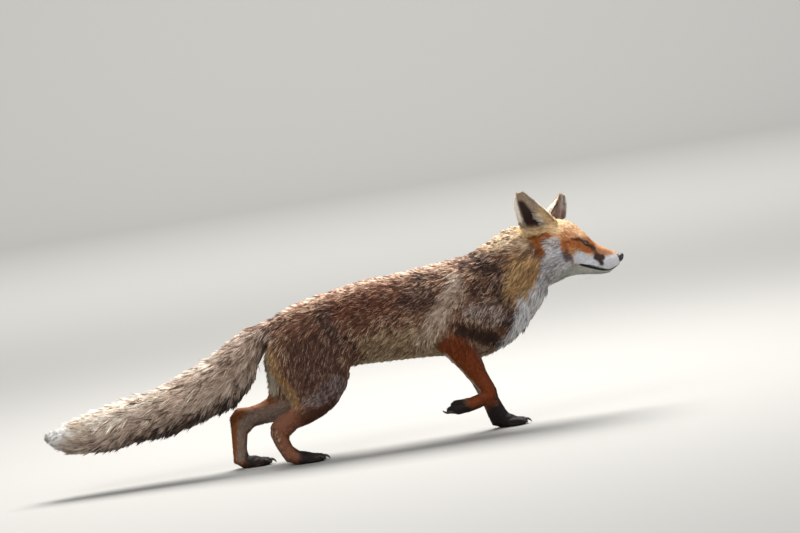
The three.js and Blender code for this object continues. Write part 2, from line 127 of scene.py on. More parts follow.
class Hair(Enum):
    """The named tones of a red fox's coat, and the painted shade of the ears' hollows."""

    FLANK = Tone((116, 76, 54), (216, 188, 160), (38, 22, 17), 0.36, 0.36)
    BACK = Tone((170, 131, 107), (244, 218, 194), (72, 49, 38), 0.50, 0.20)
    RED_SADDLE = Tone((106, 60, 40), (194, 150, 120), (38, 21, 16), 0.28, 0.40)
    SADDLE = Tone((72, 48, 41), (170, 140, 122), (26, 17, 16), 0.24, 0.48)
    LOW_FLANK = Tone((138, 110, 80), (218, 196, 162), (66, 46, 34), 0.42, 0.26)
    BELLY = Tone((168, 144, 108), (226, 208, 172), (98, 80, 56), 0.38, 0.20)
    SHOULDER = Tone((78, 53, 42), (192, 158, 136), (22, 14, 13), 0.26, 0.48)
    SHOULDER_GREY = Tone((128, 105, 94), (226, 210, 200), (38, 27, 25), 0.44, 0.34)
    SHOULDER_LOW = Tone((62, 40, 27), (118, 86, 64), (28, 18, 15), 0.14, 0.45)
    PALE_BAND = Tone((168, 143, 123), (232, 216, 198), (72, 52, 42), 0.44, 0.24)
    NECK = Tone((182, 141, 92), (226, 194, 148), (46, 29, 20), 0.38, 0.34)
    NAPE = Tone((190, 158, 122), (240, 218, 186), (50, 32, 23), 0.44, 0.36)
    BIB = Tone((216, 213, 213), (246, 244, 243), (84, 78, 79), 0.48, 0.24)
    THIGH = Tone((96, 64, 49), (186, 155, 136), (34, 22, 19), 0.27, 0.38)
    THIGH_RED = Tone((108, 66, 46), (166, 122, 94), (48, 30, 24), 0.26, 0.32)
    THIGH_GREY = Tone((100, 80, 74), (190, 172, 166), (42, 32, 32), 0.38, 0.36)
    BUTTOCK = Tone((150, 112, 72), (206, 176, 134), (80, 54, 33), 0.38, 0.24)
    CREAM = Tone((204, 188, 162), (230, 220, 200), (140, 118, 94), 0.45, 0.08)
    LEG = Tone((108, 46, 8), (156, 84, 36), (54, 22, 7), 0.28, 0.26)
    LEG_DARK = Tone((80, 46, 30), (134, 92, 66), (42, 25, 20), 0.24, 0.32)
    LEG_BROWN = Tone((122, 76, 54), (168, 120, 90), (62, 37, 27), 0.30, 0.26)
    LEG_GOLD = Tone((140, 80, 34), (186, 122, 68), (80, 44, 20), 0.32, 0.22)
    LEG_INNER = Tone((132, 110, 96), (180, 160, 146), (76, 58, 48), 0.36, 0.22)
    SOCK = Tone((30, 23, 21), (62, 50, 45), (16, 12, 12), 0.16, 0.30)
    TAIL = Tone((186, 160, 141), (238, 220, 202), (62, 45, 37), 0.46, 0.25)
    TAIL_TOP = Tone((214, 195, 174), (250, 239, 224), (104, 80, 62), 0.48, 0.19)
    TAIL_UNDER = Tone((84, 64, 55), (146, 122, 106), (34, 25, 23), 0.22, 0.46)
    TAIL_TIP = Tone((242, 238, 232), (255, 252, 248), (190, 176, 160), 0.50, 0.06)
    FACE = Tone((190, 128, 78), (228, 182, 134), (84, 43, 23), 0.40, 0.28)
    TEMPLE = Tone((186, 128, 84), (232, 190, 148), (98, 58, 38), 0.42, 0.26)
    CHEEK = Tone((166, 92, 42), (206, 140, 84), (84, 40, 20), 0.32, 0.28)
    STRIPE = Tone((150, 84, 30), (188, 122, 58), (84, 42, 17), 0.28, 0.28)
    FOREHEAD = Tone((220, 174, 128), (250, 226, 192), (104, 60, 36), 0.48, 0.23)
    MUZZLE = Tone((200, 150, 106), (236, 200, 162), (120, 78, 52), 0.40, 0.16)
    MUZZLE_SIDE = Tone((158, 106, 70), (190, 142, 104), (90, 56, 38), 0.30, 0.24)
    WHITE = Tone((204, 203, 206), (236, 235, 238), (138, 135, 139), 0.45, 0.12)
    JAW = Tone((172, 172, 162), (208, 208, 200), (100, 97, 88), 0.40, 0.18)
    CHEEK_GREY = Tone((184, 179, 181), (238, 235, 236), (68, 60, 61), 0.44, 0.30)
    GREY_DARK = Tone((92, 82, 82), (140, 130, 130), (40, 34, 36), 0.25, 0.40)
    TEAR = Tone((56, 40, 36), (90, 70, 62), (26, 19, 18), 0.14, 0.40)
    EAR_SIDE = Tone((214, 178, 130), (240, 214, 172), (118, 86, 56), 0.42, 0.16)
    EAR_BACK = Tone((44, 34, 30), (84, 66, 56), (22, 17, 16), 0.12, 0.30)
    EAR_RIM = Tone((226, 214, 196), (246, 238, 224), (160, 138, 114), 0.50, 0.06)
    EAR_INNER = Tone((156, 136, 114), (208, 192, 172), (78, 62, 52), 0.40, 0.24)
    EAR_PINK = Tone((180, 150, 138), (214, 192, 180), (104, 80, 74), 0.42, 0.14)
    EAR_FRINGE = Tone((196, 187, 177), (220, 214, 207), (112, 100, 92), 0.45, 0.16)
    # Painted shade of the ear's deep hollow, not a colour of the hair.
    EAR_DEEP = Tone((50, 28, 21), (84, 56, 46), (22, 14, 13), 0.10, 0.40)


class Side(Enum):
    """Which side of the body a marking or guide belongs to."""

    BOTH = 0
    RIGHT = -1
    LEFT = 1


@dataclass(frozen=True)
class Marking:
    """A soft-edged patch of one tone, round a line between two points.

    Attributes:
        tone: The hair tone of the patch.
        start: One end of its middle line; two numbers are a place in side view.
        end: The other end.
        radius: Distance from the line to the middle of the soft edge.
        soft: Width of the soft edge.
        side: Side of the body; BOTH mirrors the patch.
        strength: Share of the tone at the middle.
    """

    tone: Hair
    start: tuple[float, ...]
    end: tuple[float, ...]
    radius: float
    soft: float
    side: Side = Side.BOTH
    strength: float = 1.0


RIGHT, LEFT = Side.RIGHT, Side.LEFT
MARKINGS = (
    # trunk
    Marking(Hair.BACK, (-140, 0, 276), (-80, 0, 302), 36, 34),
    Marking(Hair.BACK, (-80, 0, 302), (300, 0, 352), 40, 34),
    Marking(Hair.RED_SADDLE, (19, 265), (132, 277), 22, 26, strength=0.85),
    Marking(Hair.SADDLE, (145, 268), (189, 265), 15, 18, strength=0.75),
    Marking(Hair.SADDLE, (169, 299), (191, 295), 5, 9, strength=0.8),
    Marking(Hair.SADDLE, (-4, 258), (2, 207), 15, 20, strength=0.8),
    Marking(Hair.LOW_FLANK, (74, 199), (179, 197), 22, 24),
    Marking(Hair.SADDLE, (29, 225), (41, 197), 5, 9, strength=0.7),
    Marking(Hair.BELLY, (40, 166), (200, 160), 10, 14),
    Marking(Hair.BELLY, (30, 0, 148), (262, 0, 138), 30, 22),
    Marking(Hair.PALE_BAND, (240, 283), (203, 237), 15, 18),
    Marking(Hair.PALE_BAND, (203, 237), (163, 195), 14, 18, strength=0.8),
    Marking(Hair.SHOULDER, (259, 309), (293, 311), 11, 16, strength=0.6),
    Marking(Hair.SHOULDER, (294, 315), (314, 289), 16, 18),
    Marking(Hair.SHOULDER, (314, 289), (322, 240), 15, 14),
    Marking(Hair.SHOULDER, (322, 240), (322, 202), 9, 12, strength=0.9),
    Marking(Hair.SHOULDER, (272, 270), (314, 262), 11, 14, strength=0.8),
    Marking(Hair.SHOULDER_GREY, (262, 235), (308, 220), 16, 18, strength=0.9),
    Marking(Hair.SHOULDER_LOW, (235, 201), (295, 181), 13, 14),
    Marking(Hair.SHOULDER_LOW, (190, 182), (205, 172), 8, 12, strength=0.8),
    # neck and chest
    Marking(Hair.NECK, (360, 289), (350, 258), 26, 20),
    Marking(Hair.NECK, (377, 301), (383, 272), 15, 12),
    Marking(Hair.NAPE, (300, 345), (372, 344), 18, 22),
    Marking(Hair.BIB, (401, 255), (364, 198), 24, 12),
    Marking(Hair.BIB, (364, 198), (318, 160), 20, 14),
    Marking(Hair.BIB, (355, 232), (341, 190), 13, 12),
    # thighs and rump
    Marking(Hair.THIGH, (-37, 204), (-40, 149), 50, 24),
    Marking(Hair.THIGH_RED, (-60, 248), (-29, 243), 12, 18, strength=0.7),
    Marking(Hair.THIGH_GREY, (-7, 138), (-46, 113), 20, 18),
    Marking(Hair.BUTTOCK, (-113, 225), (-109, 181), 10, 9),
    Marking(Hair.BUTTOCK, (-109, 181), (-90, 141), 10, 9, RIGHT),
    Marking(Hair.BUTTOCK, (-90, 141), (-86, 114), 8, 8, RIGHT),
    Marking(Hair.CREAM, (-126, 207), (-128, 140), 14, 10, LEFT),
    Marking(Hair.CREAM, (-105, -14, 200), (-95, -18, 130), 14, 10, RIGHT),
    # right hind leg
    Marking(Hair.LEG_DARK, (-20, -58, 96), (-84, -50, 82), 17, 16, RIGHT),
    Marking(Hair.LEG_BROWN, (-100, -42, 82), (-104, -40, 20), 25, 16, RIGHT),
    Marking(Hair.LEG, (-112, -40, 56), (-94, -40, 20), 9, 12, RIGHT, strength=0.75),
    Marking(Hair.LEG_INNER, (-60, -24, 90), (-116, -30, 40), 12, 10, RIGHT),
    Marking(Hair.SOCK, (-96, -40, 30), (-84, -40, 12), 9, 10, RIGHT, strength=0.8),
    Marking(Hair.SOCK, (-84, -40, 8), (-44, -40, 8), 22, 10, RIGHT),
    # left hind leg
    Marking(Hair.LEG_DARK, (-70, 58, 112), (-130, 52, 104), 22, 18, LEFT),
    Marking(Hair.LEG_GOLD, (-140, 46, 110), (-200, 42, 104), 22, 16, LEFT),
    Marking(Hair.LEG_GOLD, (-200, 42, 100), (-206, 40, 20), 24, 14, LEFT),
    Marking(Hair.LEG_INNER, (-90, 22, 96), (-176, 26, 84), 19, 14, LEFT),
    # Painted highlight: a paler golden line along the top edge of this leg, where light catches it.
    Marking(Hair.BUTTOCK, (-118, 50, 130), (-190, 46, 113), 6, 9, LEFT, strength=0.7),
    Marking(Hair.LEG_INNER, (-190, 26, 84), (-204, 26, 22), 10, 7, LEFT),
    Marking(Hair.SOCK, (-186, 40, 58), (-188, 40, 16), 7, 7, LEFT),
    Marking(Hair.SOCK, (-188, 40, 8), (-146, 40, 8), 22, 10, LEFT),
    # right foreleg
    Marking(Hair.LEG, (214, -60, 168), (262, -44, 84), 30, 12, RIGHT),
    Marking(Hair.LEG_INNER, (196, -34, 160), (240, -32, 96), 13, 9, RIGHT),
    Marking(Hair.LEG, (262, -44, 80), (240, -41, 62), 18, 8, RIGHT),
    Marking(Hair.SOCK, (226, 48), (256, 53), 5, 5, RIGHT, strength=0.85),
    Marking(Hair.CREAM, (194, 162), (246, 82), 4, 5, RIGHT, strength=0.75),
    Marking(Hair.SOCK, (202, 54), (184, 50), 23, 8, RIGHT),
    Marking(Hair.SOCK, (275, 106), (283, 66), 3.5, 5, RIGHT, strength=0.85),
    # left foreleg
    Marking(Hair.LEG, (222, 60, 168), (262, 46, 60), 28, 12, LEFT),
    Marking(Hair.LEG_INNER, (204, 34, 160), (244, 32, 80), 13, 9, LEFT),
    Marking(Hair.SOCK, (270, 42, 112), (292, 40, 36), 11, 9, LEFT),
    Marking(Hair.SOCK, (276, 40, 24), (318, 40, 8), 24, 10, LEFT),
    # tail
    Marking(Hair.TAIL, (-190, 0, 205), (-500, 8, 112), 70, 40),
    Marking(Hair.THIGH, (-136, 236), (-214, 196), 26, 36, strength=0.2),
    Marking(Hair.TAIL_TOP, (-236, 212), (-346, 178), 22, 32, strength=0.7),
    Marking(Hair.TAIL_TOP, (-346, 176), (-500, 130), 32, 32),
    Marking(Hair.TAIL_UNDER, (-168, 151), (-264, 113), 16, 24),
    Marking(Hair.TAIL_UNDER, (-264, 113), (-445, 81), 16, 24),
    Marking(Hair.TAIL_TIP, (-565, 128), (-522, 122), 26, 20),
    Marking(Hair.SADDLE, (-109, 273), (-84, 270), 9, 12, strength=0.7),
    Marking(Hair.SHOULDER_GREY, (-124, 248), (-107, 243), 9, 12, strength=0.6),
    # head
    Marking(Hair.FACE, (443, 345), (514, 300), 27, 10),
    Marking(Hair.FOREHEAD, (430, 364), (485, 331), 14, 14),
    Marking(Hair.TEMPLE, (432, 343), (460, 335), 11, 12),
    Marking(Hair.MUZZLE, (494, 315), (536, 289), 6, 6),
    Marking(Hair.MUZZLE_SIDE, (499, 300), (523, 290), 6, 6),
    Marking(Hair.CHEEK, (447, 318), (488, 310), 14, 9),
    Marking(Hair.NECK, (456, 308), (469, 306), 5, 8, strength=0.6),
    Marking(Hair.EAR_SIDE, (415, 368), (434, 354), 13, 10),
    Marking(Hair.EAR_SIDE, (375, 355), (414, 351), 9, 9),
    Marking(Hair.CHEEK_GREY, (423, 323), (424, 293), 16, 9),
    Marking(Hair.CHEEK_GREY, (417, 294), (403, 252), 18, 10),
    Marking(Hair.CHEEK_GREY, (441, 286), (428, 273), 12, 8),
    Marking(Hair.STRIPE, (387, 342), (417, 343), 6, 5),
    Marking(Hair.STRIPE, (394, 337), (401, 317), 9, 6),
    Marking(Hair.PALE_BAND, (414, 329), (426, 327), 4, 10, strength=0.6),
    Marking(Hair.JAW, (430, 264), (530, 255), 15, 8),
    Marking(Hair.JAW, (447, 276), (511, 259), 8, 6),
    Marking(Hair.WHITE, (465, 294), (487, 283), 11, 7),
    Marking(Hair.WHITE, (487, 279), (516, 272), 7, 7),
    Marking(Hair.WHITE, (516, 276), (529, 275), 12, 7),
    Marking(Hair.GREY_DARK, (443, 306), (447, 297), 6, 6, strength=0.8),
    Marking(Hair.TEAR, (495, 306), (501, 290), 4, 5, strength=0.85),
    Marking(Hair.TEAR, (499, 288), (509, 286), 5.5, 4),
    Marking(Hair.TEAR, (504, 283), (506, 275), 4, 4),
    Marking(Hair.TEAR, (490, 310), (496, 304), 2.0, 4, strength=0.7),
    Marking(Hair.TEAR, (447, 323), (460, 327), 1.2, 4, strength=0.5),
    Marking(Hair.TEAR, (460, 327), (477, 324.5), 1.8, 4, strength=0.9),
)


# ---------------------------------------------------------------- numbers on meshes


def deselect() -> None:
    """Leaves nothing selected and nothing active."""
    bpy.ops.object.select_all(action="DESELECT")
    bpy.context.view_layer.objects.active = None


def activate(piece: Piece) -> None:
    """Makes a piece the only selected and the active one.

    Args:
        piece: The piece.
    """
    deselect()
    piece.select_set(True)
    bpy.context.view_layer.objects.active = piece


@contextmanager
def editing(piece: Piece) -> Iterator[None]:
    """Edit mode with the whole piece selected, for the lines within.

    Args:
        piece: The piece.

    Returns:
        What the with statement needs.
    """
    activate(piece)
    bpy.ops.object.mode_set(mode="EDIT")
    bpy.ops.mesh.select_all(action="SELECT")
    yield
    bpy.ops.object.mode_set(mode="OBJECT")


def modified(piece: Piece, kind: str, **settings: object) -> None:
    """Applies one modifier to a piece.

    Args:
        piece: The piece.
        kind: Kind of the modifier.
        settings: Its properties.
    """
    modifier = piece.modifiers.new(kind.lower(), kind)
    for key, value in settings.items():
        setattr(modifier, key, value)
    activate(piece)
    bpy.ops.object.modifier_apply(modifier=modifier.name)


def placed(name: str, data: bpy.types.ID) -> Piece:
    """A new object in the scene.

    Args:
        name: Its name.
        data: Its mesh, lamp or camera.

    Returns:
        The object.
    """
    piece = bpy.data.objects.new(name, data)
    bpy.context.scene.collection.objects.link(piece)
    return piece


def node_copy(name: str) -> Piece:
    """A loose copy of a solid, with no doubled points and its faces outwards.

    Args:
        name: The solid's node.

    Returns:
        The copy.
    """
    copy = frame["nodes"][name].copy()
    copy.data = copy.data.copy()
    copy.parent = None
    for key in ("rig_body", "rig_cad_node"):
        del copy[key]
    bpy.context.scene.collection.objects.link(copy)
    with editing(copy):
        bpy.ops.mesh.remove_doubles(threshold=1e-5)
        bpy.ops.mesh.normals_make_consistent(inside=False)
    return copy


def read(items: bpy.types.bpy_prop_collection, key: str, width: int, kind: type = np.float32) -> Array:
    """Numbers kept in a mesh.

    Args:
        items: The mesh's vertices, edges or the like.
        key: Name of the value.
        width: How many numbers each item has.
        kind: Type of the numbers.

    Returns:
        One row for each item.
    """
    flat = np.empty(len(items) * width, kind)
    items.foreach_get(key, flat)
    return flat.reshape(-1, width)


def places_of(piece: Piece) -> Array:
    """The piece's vertex places in millimetres."""
    return read(piece.data.vertices, "co", 3).astype(float) / MM


def normals_of(piece: Piece) -> Array:
    """The piece's vertex normals."""
    return read(piece.data.vertex_normals, "vector", 3).astype(float)


def edges_of(piece: Piece) -> Array:
    """The piece's edges as pairs of vertex numbers."""
    return read(piece.data.edges, "vertices", 2, np.int32)


def move_to(piece: Piece, places: Array) -> None:
    """Sets the piece's vertex places, given in millimetres."""
    piece.data.vertices.foreach_set("co", (places * MM).astype(np.float32).ravel())
    piece.data.update()


def relaxed(values: Array, edges: Array, rounds: int, share: Array | float = 0.6) -> Array:
    """Values on vertices, moved towards their neighbours' mean.

    Args:
        values: One row for each vertex.
        edges: Pairs of vertex numbers.
        rounds: How many times to move them.
        share: How far to move each, from 0 to 1.

    Returns:
        The smoothed values.
    """
    count = len(values)
    degree = np.bincount(edges.ravel(), minlength=count).clip(1)[:, None]
    share = np.broadcast_to(np.asarray(share, float).reshape(-1, 1), (count, 1))
    columns = values.reshape(count, -1)
    for _ in range(rounds):
        total = np.stack(
            [
                np.bincount(edges[:, 0], column[edges[:, 1]], count)
                + np.bincount(edges[:, 1], column[edges[:, 0]], count)
                for column in columns.T
            ],
            axis=1,
        )
        columns = columns + share * (total / degree - columns)
    return columns.reshape(values.shape)


def unit(vectors: Array) -> Array:
    """The vectors at length one."""
    return vectors / np.linalg.norm(vectors, axis=-1, keepdims=True).clip(1e-9)


def step(low: float, high: float, value: Array) -> Array:
    """A smooth rise from 0 at low to 1 at high."""
    share = ((value - low) / (high - low)).clip(0, 1)
    return share * share * (3 - 2 * share)


def ripple(places: Array, size: float, seed: int, waves: int = 14) -> Array:
    """Smooth noise of about -1 to 1, made of waves of many directions.

    Args:
        places: Points in millimetres.
        size: Distance between neighbouring crests.
        seed: Seed of the random directions.
        waves: How many waves are added.

    Returns:
        One number for each point.
    """
    draw = np.random.default_rng(seed)
    directions = unit(draw.normal(size=(waves, 3)))
    total = np.zeros(len(places))
    for direction in directions:
        pitch = 2 * math.pi / (size * draw.uniform(0.7, 1.5))
        total += np.sin(places @ (direction * pitch) + draw.uniform(0, 2 * math.pi))
    return total / math.sqrt(waves)


def ripples(places: Array, size: float, first_seed: int) -> Array:
    """Three such noises side by side, as offsets of the points."""
    return np.stack([ripple(places, size, first_seed + i) for i in range(3)], axis=1)


def folded(places: Array) -> Array:
    """The points, with those on the right mirrored to the left."""
    return np.stack([places[:, 0], np.abs(places[:, 1]), places[:, 2]], axis=1)


def distance_to_line(places: Array, start: tuple[float, ...], end: tuple[float, ...]) -> Array:
    """Distance from points to the line between two others.

    Args:
        places: The points.
        start: One end of the line.
        end: The other end.

    Returns:
        One distance for each point.
    """
    start, end = np.array(start, float), np.array(end, float)
    along = end - start
    share = ((places - start) @ along / max(along @ along, 1e-9)).clip(0, 1)
    return np.linalg.norm(places - start - share[:, None] * along, axis=1)


def blended(tones: Array, tone: Hair, weight: Array) -> Array:
    """Tones moved towards one tone by a weight for each row."""
    return tones + weight[:, None] * (tone.value.numbers() - tones)


MARKING_EDGE = 4.0  # how far the edge of a broad marking wanders
BROAD = 16.0  # width of a soft edge that wanders in full


def marked(tones: Array, places: Array, markings: tuple[Marking, ...]) -> Array:
    """Tones with markings laid over them, first to last.

    Args:
        tones: Rows of eleven numbers.
        places: The points they belong to.
        markings: The markings.

    Returns:
        The new rows.
    """
    wander = MARKING_EDGE * (0.6 * ripple(places, 22, 5) + 0.4 * ripple(places, 8, 6))
    mirrored = folded(places)
    for marking in markings:
        weight = np.full(len(places), marking.strength)
        at = mirrored if marking.side is Side.BOTH else places
        if len(marking.start) == 2:
            at = places[:, [0, 2]]
        if marking.side is not Side.BOTH:
            weight *= places[:, 1] * marking.side.value > 0
        away = distance_to_line(at, marking.start, marking.end) + wander * min(1, marking.soft / BROAD)
        weight *= 1 - step(marking.radius - marking.soft / 2, marking.radius + marking.soft / 2, away)
        tones = blended(tones, marking.tone, weight)
    return tones


@dataclass(frozen=True)
class Ear:
    """An ear's axis, where its hollow opens and how it is lined.

    Attributes:
        base: Middle of its foot.
        tip: Its tip.
        across: Direction across it, towards the nose.
        facing: Direction that the hollow opens in.
        half_width: Half its width at the foot.
        side: Side of the head.
        lining: Tone inside.
        front: Tone of the inside's front edge.
        hollow: Ends of the hollow's painted shade, as height and distance across.
        hollow_radii: Half the width of that painted shade at its two ends.
        fringe: Ends of the pale fringe as height and distance across.
    """

    base: Triple
    tip: Triple
    across: Triple
    facing: Triple
    half_width: float
    side: Side
    lining: Hair
    front: Hair
    hollow: tuple[tuple[float, float], tuple[float, float]]
    hollow_radii: tuple[float, float]
    fringe: tuple[tuple[float, float], tuple[float, float]]

    def axis(self) -> Array:
        """Unit vector from base to tip."""
        return unit(np.array(self.tip, float) - np.array(self.base, float))

    def seen(self, places: Array) -> tuple[Array, Array, Array]:
        """How far up, across and out of the hollow each point lies.

        Args:
            places: Points in millimetres.

        Returns:
            Height above the base, distance across and distance out.
        """
        base, tip = np.array(self.base, float), np.array(self.tip, float)
        height = places[:, 2] - base[2]
        middle = base + (height / (tip[2] - base[2]))[:, None] * (tip - base)
        offset = places - middle
        return height, offset @ np.array(self.across, float), offset @ np.array(self.facing, float)

    def rise(self, height: Array) -> Array:
        """How far up the ear a height is, from 0 to 1."""
        return (height / (self.tip[2] - self.base[2])).clip(0, 1)

    def covers(self, places: Array) -> Array:
        """Where the ear is.

        Args:
            places: Points in millimetres.

        Returns:
            1 on the ear, 0 away from it.
        """
        height, across, out = self.seen(places)
        near = (places[:, 1] * self.side.value > 8) & (np.abs(across) < self.half_width * 1.3)
        near &= np.abs(out) < 24
        return near * step(-8, 6, height)

    def fringed(self, places: Array, normals: Array) -> Array:
        """Where the long pale hairs of the hollow's front edge grow.

        Args:
            places: Points in millimetres.
            normals: The skin's directions there.

        Returns:
            1 where they grow, 0 away from them.
        """
        height, across, _ = self.seen(places)
        away = distance_to_line(np.stack([height, across], axis=1), *self.fringe)
        inside = step(0.0, 0.3, normals @ np.array(self.facing, float))
        return self.covers(places) * inside * (1 - step(3, 7, away))

    def tones(self, places: Array, normals: Array) -> Array:
        """The ear's own tones.

        Args:
            places: Points in millimetres.
            normals: The skin's directions there.

        Returns:
            Rows of eleven numbers.
        """
        height, across, _ = self.seen(places)
        plane = np.stack([height, across], axis=1)
        rise = self.rise(height)
        edge = np.abs(across) / (self.half_width * (1 - 0.72 * rise))
        facing = normals @ np.array(self.facing, float)
        own = np.tile(Hair.EAR_SIDE.value.numbers(), (len(places), 1))
        back = step(0.2, 0.5, -facing) * step(6, 18, height) * (1 - step(0.66, 0.9, edge))
        own = blended(own, Hair.EAR_BACK, back * (1 - step(0.88, 0.98, rise)))
        within = np.tile(self.lining.value.numbers(), (len(places), 1))
        start, end = (np.array(point, float) for point in self.hollow)
        share = ((plane - start) @ (end - start) / ((end - start) @ (end - start))).clip(0, 1)
        radius = self.hollow_radii[0] + share * (self.hollow_radii[1] - self.hollow_radii[0])
        # Painted shade: the hollow inside the ear is painted dark.
        deep = 1 - step(-4, 4, distance_to_line(plane, start, end) - radius)
        within = blended(within, Hair.EAR_DEEP, deep)
        within = blended(within, Hair.EAR_FRINGE, 1 - step(2, 5, distance_to_line(plane, *self.fringe)))
        within = blended(within, self.front, step(12, 20, across) * (1 - step(0.35, 0.65, rise)))
        within = blended(within, Hair.EAR_RIM, step(0.80, 0.93, edge) * step(4, 14, height))
        inside = step(0.0, 0.3, facing)[:, None]
        return own + inside * (within - own)


EARS = (
    Ear(
        (403, -33, 362), (377, -58, 430), (0.94, 0.34, 0), (0.34, -0.94, 0), 38, RIGHT,
        Hair.EAR_INNER, Hair.EAR_SIDE,
        hollow=((44, -8), (9, -8)), hollow_radii=(7.5, 15.5), fringe=((20, 15), (-3, 13)),
    ),
    Ear(
        (428, 31, 360), (454.5, 54.5, 411), (0.55, 0.835, 0), (0.835, -0.55, 0), 31, LEFT,
        Hair.EAR_PINK, Hair.EAR_PINK,
        hollow=((30, 6), (16, -4)), hollow_radii=(1.5, 2.5), fringe=((38, 14), (4, 24)),
    ),
)


def tones_at(places: Array, normals: Array) -> Array:
    """The coat's tone at points on the skin.

    Args:
        places: Points in millimetres.
        normals: The skin's directions there.

    Returns:
        Rows of eleven numbers.
    """
    tones = np.tile(Hair.FLANK.value.numbers(), (len(places), 1))
    tones = marked(tones, places, MARKINGS)
    for ear in EARS:
        near = np.flatnonzero(ear.covers(places) > 0)
        weight = ear.covers(places[near])[:, None]
        tones[near] += weight * (ear.tones(places[near], normals[near]) - tones[near])
    return tones


# ---------------------------------------------------------------- lie of the coat


class Region(Enum):
    """The coat's pieces."""

    HEAD = "head"
    NECK = "neck"
    TRUNK = "trunk"
    TAIL = "tail"
    HIND = "hind_legs"
    FORE = "forelegs"


@dataclass(frozen=True)
class Guide:
    """How the hair grows near one point.

    Attributes:
        at: The point.
        along: Direction that the hair lies in.
        length: Length of a lock.
        width: Width of a lock.
        lift: Angle between the lock and the skin, in degrees.
        density: Locks for each square millimetre.
        region: Piece that it belongs to.
        side: BOTH mirrors the guide.
        inset: Room between the outline and most of the tips.
    """

    at: Triple
    along: Triple
    length: float
    width: float
    lift: float
    density: float
    region: Region
    side: Side = Side.BOTH
    inset: float = 0.0


